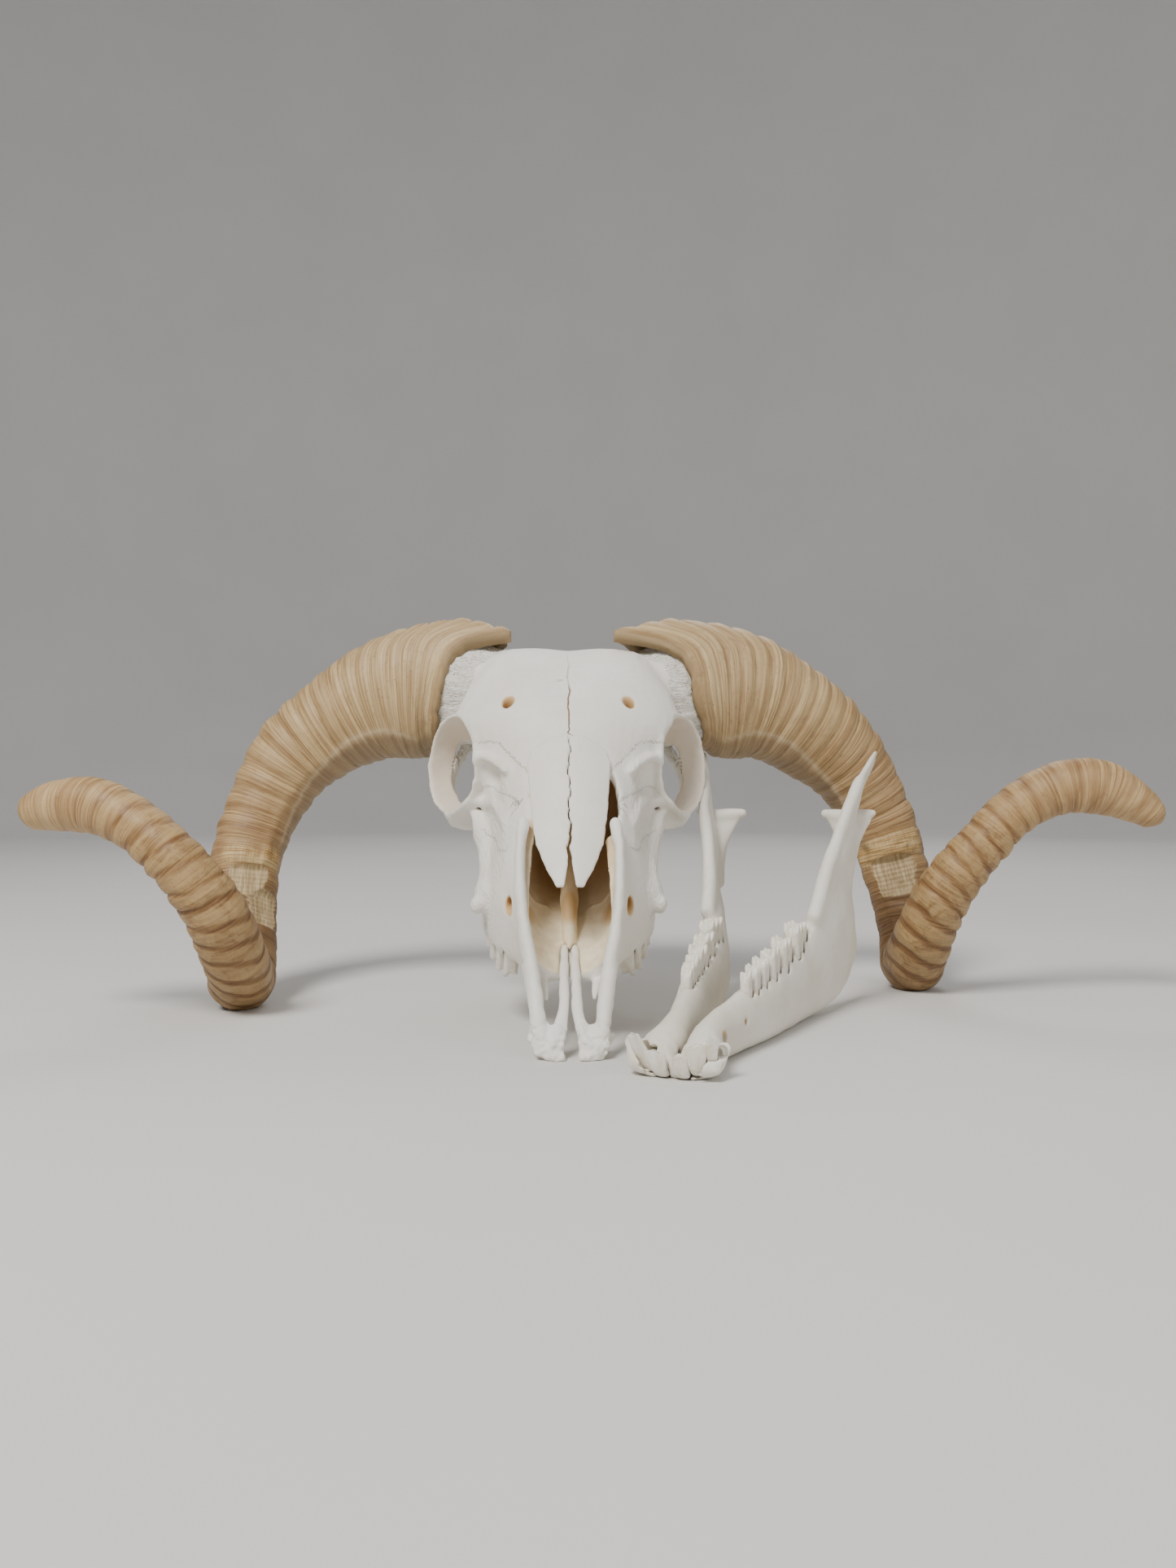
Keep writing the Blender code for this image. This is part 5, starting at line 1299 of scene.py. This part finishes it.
def dress_cranium(piece, hollow, shade):
    """Fine relief of the cranium, and marks for its material."""
    points, normals = table_points(piece), normals_of(piece)
    spot = table_to_palate(points)
    facing = table_to_palate(points + normals) - spot
    hand = np.where(spot[:, :1] < 0, (-1, 1, 1), 1)
    mirrored = spot * hand
    x, y, z = mirrored.T
    middle = x < 4
    from_orbit = np.linalg.norm(mirrored - np.array(ORBIT_CENTRE), axis=1)
    core_band, comb = core_marks(points)
    core_band = core_band * step_up(from_orbit, 25.5, 27.5)
    inside = 1 - step_up(hollow.read(spot), 0.4, 1.6)
    # The share of bone round each place lays ochre in narrow corners: painted shade, partly dirt
    corner_shade_and_dirt = shade.read(spot)
    nose = step_up(-x, -31, -27) * step_up(-y, -156, -146)
    flank = step_up(x, 27, 31) * step_up(y, 74, 84) * (1 - step_up(y, 126, 140))
    open_part = 1 - step_up(y, 160, 172)
    seam, seam_run, crack, on_front = cranium_seams(spot, facing, mirrored, facing * hand)

    push = 0.14 * layers(spot, 14, 2) + 0.07 * noise(spot, 4.0, 3)
    ridges = noise(comb * (0.16, 0.42, 0.42), 1.0, 7) + 0.6 * noise(comb * (0.3, 0.8, 0.8), 1.0, 9)
    push = push + core_band * (0.75 * ridges - 0.25)
    rim = 1 - step_up(np.abs(from_orbit - ORBIT_RADIUS), 3, 6)
    push = push + 0.35 * rim * noise(spot, 2.8, 12) * (1 - 0.4 * inside)
    push = push + 0.35 * (1 - step_up(y, 60, 80)) * noise(spot, 3.0, 14)
    push = push + 0.26 * flank * noise(spot * (1, 0.18, 1), 2.2, 16) - crack * open_part
    push = push - 0.14 * np.exp(-(seam / 0.9) ** 2) * (np.abs(seam) < 4) * ~middle
    points = points + normals * push[:, None]
    points[:, 2] = np.maximum(points[:, 2], 0.0)
    set_points(piece, points)

    # Ochre round the mouths of the forehead and cheek holes: painted shade in the holes
    shaded_holes = (1 - step_up(np.hypot(x - 29, y - 156), 2.6, 5)) * (z > 60)
    shaded_holes = np.maximum(shaded_holes, 1 - step_up(np.hypot(y - 72, z - 27.5), 8, 13))
    # Ochre along the slit beside the right nose bone: painted shade of the gap
    beside = np.exp(-((x - nasal_values(y)[2] - 0.4) / 0.9) ** 2) * (z > 44) * (1 - inside)
    beside = beside * step_up(y, 88, 94) * (1 - step_up(y, 121, 126)) * (0.7 + 0.6 * noise(spot, 3, 23))
    marks = {
        "rough": core_band,
        "comb": comb,
        # Inside the hollows the bone goes from cream to ochre, more so further in: partly the bone's own
        # stain, partly painted shade
        "hollow": inside * np.maximum(0.3 + 0.7 * nose, shaded_holes * (x < 36)),
        "deep": np.maximum(step_up(y + 0.25 * z, 70, 122), shaded_holes),
        "corner_shade_and_dirt": np.maximum(corner_shade_and_dirt * (1 - 0.75 * nose), 0.98 * beside),
        "seam": np.clip(seam, -4, 4) - np.where(middle, 0.8 * midline_wander(y), 0),
        "seam_run": seam_run,
        "seam_wave": np.where(on_front, 0.7 - 0.42 * open_part, 0.9),
        "seam_on": (np.abs(seam) < 3.4) * (1 - inside),
        "opening": open_part * middle,
        "flank": flank,
        "spot": spot,
    }
    for name, values in marks.items():
        mark(piece, name, values)


def dress_bone(piece, size, seed, shaded_holes=()):
    """Fine unevenness of a smaller bone, and marks for its material."""
    points = table_points(piece)
    push = 0.12 * layers(points, size, seed) + 0.06 * noise(points, size / 3, seed + 4)
    points = points + normals_of(piece) * push[:, None]
    points[:, 2] = np.maximum(points[:, 2], 0.0)
    set_points(piece, points)
    mark(piece, "spot", points)
    # Ochre round the mouths of the holes: painted shade
    if len(shaded_holes):
        near = np.min([np.linalg.norm(points - hole, axis=1) for hole in shaded_holes], axis=0)
        mark(piece, "hollow", 1 - step_up(near, 2.6, 4.0))
        mark(piece, "deep", 1 - step_up(near, 3.0, 5.0))


# Materials

def colour(red, green, blue):
    """A colour read as 0 to 255, as the linear light that Blender takes."""
    return (*[((v / 255 + 0.055) / 1.055) ** 2.4 for v in (red, green, blue)], 1.0)


class Paint:
    """Short words for the nodes of one material."""

    def __init__(self, name):
        self.mat = bpy.data.materials.new(name)
        self.mat.use_nodes = True
        self.tree = self.mat.node_tree
        self.shader = self.tree.nodes["Principled BSDF"]
        self.place = self.node("ShaderNodeTexCoord").outputs["Object"]
        self.times = lambda *values: self.sum("MULTIPLY", *values)
        self.plus = lambda *values: self.sum("ADD", *values)
        self.minus = lambda *values: self.sum("SUBTRACT", *values)

    def node(self, kind, **settings):
        made = self.tree.nodes.new(kind)
        for key, value in settings.items():
            setattr(made, key, value)
        return made

    def put(self, socket, value):
        if hasattr(value, "is_output") and value.is_output:
            self.tree.links.new(value, socket)
        else:
            socket.default_value = value

    def read(self, name, output="Fac"):
        return self.node("ShaderNodeAttribute", attribute_name=name).outputs[output]

    def sum(self, kind, *values):
        made = self.node("ShaderNodeMath", operation=kind)
        for socket, value in zip(made.inputs, values):
            self.put(socket, value)
        return made.outputs[0]

    def stretch(self, place, scale):
        made = self.node("ShaderNodeMapping")
        self.put(made.inputs["Vector"], place)
        made.inputs["Scale"].default_value = scale
        return made.outputs[0]

    def noise(self, scale, detail=4.0, rough=0.6, place=None, warp=0.0):
        """Cloudy noise; scale counts lumps per metre on object places."""
        made = self.node("ShaderNodeTexNoise")
        self.put(made.inputs["Vector"], place or self.place)
        for key, value in (("Scale", scale), ("Detail", detail), ("Roughness", rough), ("Distortion", warp)):
            made.inputs[key].default_value = value
        return made.outputs["Fac"]

    def cells(self, scale, feature="F1", place=None):
        made = self.node("ShaderNodeTexVoronoi", feature=feature)
        self.put(made.inputs["Vector"], place or self.place)
        made.inputs["Scale"].default_value = scale
        return made.outputs["Distance"]

    def ramp(self, value, *stops):
        """Numbers from 0 to 1 or colours, by stops of place and value."""
        made = self.node("ShaderNodeValToRGB")
        self.put(made.inputs["Fac"], value)
        parts = made.color_ramp.elements
        while len(parts) < len(stops):
            parts.new(0.5)
        for part, (at, shown) in zip(parts, stops):
            part.position = at
            part.color = shown if isinstance(shown, tuple) else (shown, shown, shown, 1)
        return made.outputs["Color"]

    def mix(self, share, first, second):
        made = self.node("ShaderNodeMix", data_type="RGBA")
        for at, value in ((0, share), (6, first), (7, second)):
            self.put(made.inputs[at], value)
        return made.outputs[2]

    def bump(self, height, depth, under=None):
        """Relief of a depth in mm, laid over the relief under it."""
        made = self.node("ShaderNodeBump")
        self.put(made.inputs["Height"], height)
        made.inputs["Distance"].default_value = depth * MM
        if under is not None:
            self.put(made.inputs["Normal"], under)
        return made.outputs[0]

    def done(self, base, roughness, normal=None, specular=0.5):
        self.put(self.shader.inputs["Base Color"], base)
        self.put(self.shader.inputs["Roughness"], roughness)
        if normal is not None:
            self.put(self.shader.inputs["Normal"], normal)
        self.shader.inputs["Specular IOR Level"].default_value = specular
        return self.mat


def bone_material(name, pale, warm, ochre, dark):
    p = Paint(name)
    broad = p.noise(26, 3, 0.55)
    fine = p.noise(190, 5, 0.65)
    grit = p.noise(900, 3, 0.7)
    base = p.mix(p.ramp(broad, (0.36, 0.0), (0.68, 0.7)), pale, warm)
    blotch = p.ramp(p.noise(70, 5, 0.7, warp=0.6), (0.54, 0.0), (0.72, 0.4))
    base = p.mix(blotch, base, warm)
    base = p.mix(p.ramp(fine, (0.30, 0.10), (0.46, 0.0)), base, ochre)
    # Ochre in narrow corners and along the slit beside the right nose bone: painted shade, partly dirt
    corner_shade_and_dirt = p.ramp(p.plus(p.read("corner_shade_and_dirt"), p.times(fine, 0.16)), (0.68, 0.0), (1.0, 0.6))
    base = p.mix(corner_shade_and_dirt, base, ochre)
    # Tone inside the hollows, cream at the front and ochre further in: partly the bone's own stain, partly
    # painted shade
    inner = p.times(p.read("hollow"), p.ramp(broad, (0.3, 0.8), (0.7, 1.0)))
    inner_stain_and_shade = p.mix(p.read("deep"), colour(244, 230, 198), colour(210, 168, 106))
    inner_stain_and_shade = p.mix(p.ramp(fine, (0.36, 0.35), (0.6, 0.0)), inner_stain_and_shade, ochre)
    base = p.mix(inner, base, inner_stain_and_shade)
    rough = p.read("rough")
    comb = p.read("comb", "Vector")
    teeth = p.noise(1.0, 3, 0.6, p.stretch(comb, (0.2, 0.95, 0.6)), warp=0.3)
    pits = p.cells(1.0, place=p.stretch(comb, (0.42, 0.85, 0.6)))
    pit = p.ramp(pits, (0.04, 1.0), (0.26, 0.0))
    core_tone = p.mix(p.ramp(teeth, (0.34, 1.0), (0.54, 0.0)), pale, p.mix(0.18, warm, ochre))
    # Ochre in the pits of the core band: painted shade in the pits
    core_tone = p.mix(p.times(pit, 0.45), core_tone, ochre)
    base = p.mix(rough, base, core_tone)
    phase = p.plus(p.sum("DIVIDE", p.read("seam_run"), 1.9), p.times(p.noise(330, 3, 0.6), 2.4))
    zig = p.minus(p.times(p.sum("PINGPONG", phase, 0.5), 4.0), 1.0)
    reach = p.times(p.read("seam_wave"), p.ramp(p.noise(240, 2), (0.35, 0.5), (0.65, 1.0)))
    shaken = p.times(p.minus(p.noise(1400, 2, 0.6), 0.5), 0.7)
    away = p.minus(p.read("seam"), p.plus(p.times(zig, reach), shaken))
    away = p.sum("DIVIDE", p.sum("ABSOLUTE", away), 2.0)
    faint = p.ramp(p.noise(85, 2), (0.38, 0.6), (0.55, 1.0))
    line = p.times(p.times(p.read("seam_on"), faint), p.ramp(away, (0.05, 1.0), (0.15, 0.0)))
    gape = p.sum("DIVIDE", p.sum("ABSOLUTE", p.plus(p.read("seam"), shaken)), 2.0)
    gape = p.times(p.read("opening"), p.ramp(gape, (0.11, 1.0), (0.24, 0.0)))
    line = p.sum("MAXIMUM", p.times(line, 0.62), p.times(gape, 0.95))
    base = p.mix(line, base, dark)
    pores = p.ramp(p.cells(1150), (0.0, 1.0), (0.16, 0.0))
    pores = p.times(pores, p.ramp(p.noise(60, 2), (0.44, 0.0), (0.58, 0.9)))
    base = p.mix(p.times(pores, 0.45), base, ochre)
    normal = p.bump(fine, 0.2)
    normal = p.bump(grit, 0.06, normal)
    strokes = p.noise(1.0, 3, 0.6, p.stretch(p.read("spot", "Vector"), (0.7, 0.07, 0.7)))
    normal = p.bump(p.times(p.read("flank"), strokes), 0.9, normal)
    relief = p.minus(teeth, p.times(pit, 0.5))
    normal = p.bump(p.times(rough, relief), 1.6, normal)
    normal = p.bump(p.plus(line, p.times(pores, 0.5)), -0.4, normal)
    shine = p.ramp(p.noise(120, 4), (0.3, 0.50), (0.7, 0.72))
    return p.done(base, shine, normal, 0.42)


# Pale and deep tone of the horn, by the share of its length. The darker middle, where the horn curls down by
# the table, is partly the horn's own browner tone and partly painted shade.
HORN_TONE_PLACES = (0.0, 0.22, 0.40, 0.50, 0.62, 0.80, 0.95)
HORN_PALE = [(208, 184, 140), (200, 172, 126), (186, 154, 108), (144, 110, 68), (144, 109, 66),
             (176, 142, 94), (204, 174, 128)]
HORN_DEEP = [(164, 134, 94), (152, 120, 78), (128, 94, 58), (92, 63, 34), (92, 62, 33), (120, 84, 46),
             (164, 128, 82)]


def horn_material():
    p = Paint("horn_sheath")
    grain = p.read("grain", "Vector")
    broad_bands = p.noise(1.0, 3, 0.55, p.stretch(grain, (0.17, 0.012, 0.012)), warp=0.2)
    bands = p.noise(1.0, 4, 0.6, p.stretch(grain, (0.9, 0.018, 0.018)), warp=0.25)
    lines = p.noise(1.0, 3, 0.65, p.stretch(grain, (1.5, 0.035, 0.035)))
    strands = p.noise(1.0, 3, 0.6, p.stretch(grain, (0.035, 1.1, 1.1)))
    cloud = p.noise(0.045, 4, 0.6, grain)
    blot = p.noise(0.12, 5, 0.65, p.stretch(grain, (1.3, 1.0, 1.0)), warp=0.8)
    ring = p.read("ring")
    run = p.read("run")
    # Darker round the lower bend of the curl: partly the horn's own tone, partly painted shade
    pale, deep = [p.ramp(run, *[(at, colour(*tone)) for at, tone in zip(HORN_TONE_PLACES, tones)])
                  for tones in (HORN_PALE, HORN_DEEP)]
    shown = p.ramp(bands, (0.40, 0.0), (0.60, 1.0))
    base = p.mix(shown, deep, pale)
    base = p.mix(p.ramp(broad_bands, (0.36, 0.45), (0.52, 0.0)), base, deep)
    base = p.mix(p.ramp(lines, (0.34, 0.42), (0.50, 0.0)), base, deep)
    valley = p.times(p.ramp(ring, (0.0, 0.50), (0.30, 0.0)), p.ramp(cloud, (0.3, 0.5), (0.6, 1.0)))
    base = p.mix(valley, base, p.mix(0.5, deep, colour(92, 62, 36)))
    far = p.ramp(run, (0.52, 0.0), (0.60, 1.0))
    soft = p.times(far, p.minus(1.0, p.ramp(run, (0.86, 0.0), (0.95, 0.8))))
    brown = p.ramp(p.plus(ring, p.times(p.minus(bands, 0.5), 0.5)), (0.10, 0.5), (0.70, 0.0))
    base = p.mix(p.times(soft, brown), base, colour(112, 76, 40))
    crest = p.times(p.ramp(ring, (0.66, 0.0), (1.0, 0.5)), p.ramp(blot, (0.36, 0.2), (0.56, 1.0)))
    base = p.mix(p.times(soft, crest), base, colour(204, 174, 122))
    base = p.mix(p.ramp(blot, (0.54, 0.0), (0.70, 0.34)), base, colour(132, 98, 66))
    base = p.mix(p.ramp(cloud, (0.48, 0.0), (0.72, 0.4)), base, pale)
    base = p.mix(p.ramp(strands, (0.30, 0.18), (0.44, 0.0)), base, deep)
    # Darker, greyer underside: partly the horn's own tone, partly painted shade
    under = p.times(p.read("under"), p.ramp(cloud, (0.3, 0.75), (0.7, 0.45)))
    base = p.mix(under, base, p.mix(bands, colour(118, 98, 76), colour(152, 132, 106)))
    # Pale line along the crease: a painted highlight
    base = p.mix(p.times(p.read("crease_highlight"), 0.38), base, colour(222, 204, 172))
    speck = p.ramp(p.cells(0.34, place=grain), (0.06, 1.0), (0.20, 0.0))
    speck = p.times(speck, p.ramp(run, (0.09, 0.55), (0.20, 0.0)))
    base = p.mix(speck, base, colour(112, 78, 72))
    base = p.mix(p.times(p.read("mouth"), p.ramp(blot, (0.36, 0.2), (0.56, 0.8))), base, colour(150, 112, 66))
    fray = p.times(p.read("fray"), p.ramp(strands, (0.3, 0.4), (0.6, 1.0)))
    fray_tone = p.mix(p.ramp(lines, (0.4, 0.0), (0.6, 1.0)), colour(158, 118, 56), colour(214, 188, 138))
    base = p.mix(fray, base, fray_tone)
    grooves = p.noise(0.9, 3, 0.6, p.stretch(grain, (0.07, 1.0, 1.0)))
    cut_tone = p.mix(p.ramp(grooves, (0.4, 0.0), (0.6, 1.0)), colour(164, 140, 102), colour(198, 176, 136))
    base = p.mix(p.read("cut"), base, cut_tone)
    base = p.mix(p.read("inside"), base, p.mix(lines, colour(134, 110, 76), colour(176, 152, 114)))
    height = p.plus(p.times(bands, 0.6), p.times(lines, 0.5))
    normal = p.bump(height, 0.34)
    normal = p.bump(p.noise(1.9, 4, 0.7, grain), 0.10, normal)
    normal = p.bump(p.times(p.plus(p.read("cut"), p.read("fray")), grooves), 0.7, normal)
    shine = p.ramp(p.plus(p.times(bands, 0.5), p.times(cloud, 0.5)), (0.3, 0.40), (0.7, 0.62))
    return p.done(base, shine, normal, 0.45)


def tooth_material():
    p = Paint("tooth_enamel")
    streak = p.noise(1.0, 4, 0.6, p.stretch(p.place, (420, 420, 90)))
    stain = p.noise(150, 5, 0.65)
    base = p.mix(p.ramp(streak, (0.35, 0.0), (0.62, 1.0)), colour(226, 218, 200), colour(240, 236, 226))
    base = p.mix(p.ramp(stain, (0.52, 0.0), (0.72, 0.5)), base, colour(214, 198, 166))
    crack = p.ramp(p.cells(260, "DISTANCE_TO_EDGE"), (0.0, 0.5), (0.03, 0.0))
    crack = p.times(crack, p.ramp(stain, (0.46, 0.0), (0.6, 1.0)))
    base = p.mix(crack, base, colour(176, 150, 106))
    normal = p.bump(streak, 0.12)
    normal = p.bump(crack, -0.08, normal)
    return p.done(base, p.ramp(stain, (0.3, 0.28), (0.7, 0.46)), normal, 0.5)


def hand_over(piece, node, mat):
    piece.data.materials.append(mat)
    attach(piece, "root")
    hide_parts(node)


bone_mat = bone_material("old_bone", colour(240, 237, 230), colour(230, 224, 210), colour(196, 168, 118),
                         colour(136, 98, 58))
jaw_mat = bone_material("jaw_bone", colour(236, 232, 222), colour(222, 214, 196), colour(190, 164, 118),
                        colour(116, 84, 50))
horn_mat = horn_material()
tooth_mat = tooth_material()

cranium, *fields = make_cranium()
dress_cranium(cranium, *fields)
hand_over(cranium, "cranium", bone_mat)

for side, rows, seed in (("left", HORN_LEFT, 2), ("right", HORN_RIGHT, 9)):
    hand_over(make_horn(side, rows), "horn_sheath_" + side, horn_mat)
    for make, node in ((make_nasal, "nasal_bone_"), (make_premaxilla, "premaxilla_")):
        made = make(side)
        dress_bone(made, 7, seed)
        hand_over(made, node + side, bone_mat)
    jaw = make_jaw(side)
    dress_bone(jaw, 12, seed + 30, jaw_place(side)(np.array(JAW_HOLES)))
    hand_over(jaw, "mandible_" + side, jaw_mat)
    for index in range(6):
        hand_over(make_upper_tooth(side, index), "upper_tooth_%s_%d" % (side, index + 1), tooth_mat)
        hand_over(make_lower_tooth(side, index), "lower_tooth_%s_%d" % (side, index + 1), tooth_mat)
for label in INCISORS:
    hand_over(make_incisor(label), "incisor_" + label, tooth_mat)


# Stage, camera and light, in metres

FLOOR_RADIUS = 2.2
FLOOR_BEND = 1.2
FLOOR_HEIGHT = 3.0
FLOOR_SIDES = 96
FLOOR_DROP = 0.0002
SENSOR = 36.0
LENS = 1447.0 / 1926.0 * SENSOR
CAMERA_PLACE = (-0.0269, -0.5747, 0.112)
CAMERA_TURN = (90.0, 0.0, -1.6)
LIGHT_AIM = (0.0, 0.05, 0.1)
# Place, size and power of each light
LIGHTS = {
    "key": ((-0.7, -1.1, 1.5), 0.7, 40.0, (1.0, 0.98, 0.95)),
    "fill": ((1.3, -0.9, 0.7), 1.0, 6.0),
    "rim": ((0.4, 1.4, 1.6), 1.0, 10.0),
}
SKY_TINT = (0.9, 0.93, 1.0, 1.0)
SKY_STRENGTH = 0.36


def make_stage():
    """A pale floor that rises all round into a wide bowl."""
    profile = [(1.2, 0.0), (FLOOR_RADIUS, 0.0)]
    profile += [(FLOOR_RADIUS + FLOOR_BEND * math.sin(t), FLOOR_BEND - FLOOR_BEND * math.cos(t))
                for t in np.linspace(0.1, math.pi / 2, 14)]
    profile.append((FLOOR_RADIUS + FLOOR_BEND, FLOOR_HEIGHT))
    turn = np.linspace(0, 2 * math.pi, FLOOR_SIDES, endpoint=False)
    points = np.concatenate([np.stack([r * np.cos(turn), r * np.sin(turn), np.full(FLOOR_SIDES, z)], axis=1)
                             for r, z in profile] + [np.zeros((1, 3))])
    points[:, 2] -= FLOOR_DROP
    faces = ring_quads(len(profile), FLOOR_SIDES)[:, [0, 3, 2, 1]].tolist()
    faces += [(len(points) - 1, k, (k + 1) % FLOOR_SIDES) for k in range(FLOOR_SIDES)]
    mesh = bpy.data.meshes.new("floor")
    mesh.from_pydata(points.tolist(), [], faces)
    mesh.polygons.foreach_set("use_smooth", [True] * len(faces))
    floor = bpy.data.objects.new("floor", mesh)
    bpy.context.collection.objects.link(floor)
    p = Paint("studio_floor")
    tone = p.ramp(p.noise(3, 2), (0.3, colour(214, 212, 208)), (0.7, colour(218, 216, 212)))
    mesh.materials.append(p.done(tone, 0.85))


def make_light(name, place, size, power, tint=(1, 1, 1)):
    data = bpy.data.lights.new(name, "AREA")
    data.shape = "DISK"
    data.size = size
    data.energy = power
    data.color = tint
    lamp = bpy.data.objects.new(name, data)
    lamp.location = place
    lamp.rotation_euler = (Vector(LIGHT_AIM) - Vector(place)).to_track_quat("-Z", "Y").to_euler()
    bpy.context.collection.objects.link(lamp)


def make_camera():
    data = bpy.data.cameras.new("camera")
    data.sensor_width = SENSOR
    data.sensor_fit = "AUTO"
    data.lens = LENS
    data.clip_start = 0.02
    camera = bpy.data.objects.new("camera", data)
    camera.location = CAMERA_PLACE
    camera.rotation_euler = [math.radians(angle) for angle in CAMERA_TURN]
    bpy.context.collection.objects.link(camera)
    bpy.context.scene.camera = camera


def make_world():
    world = bpy.data.worlds.new("studio")
    world.use_nodes = True
    sky = world.node_tree.nodes["Background"].inputs
    sky["Color"].default_value = SKY_TINT
    sky["Strength"].default_value = SKY_STRENGTH
    bpy.context.scene.world = world


make_stage()
make_camera()
for name, light in LIGHTS.items():
    make_light(name, *light)
make_world()
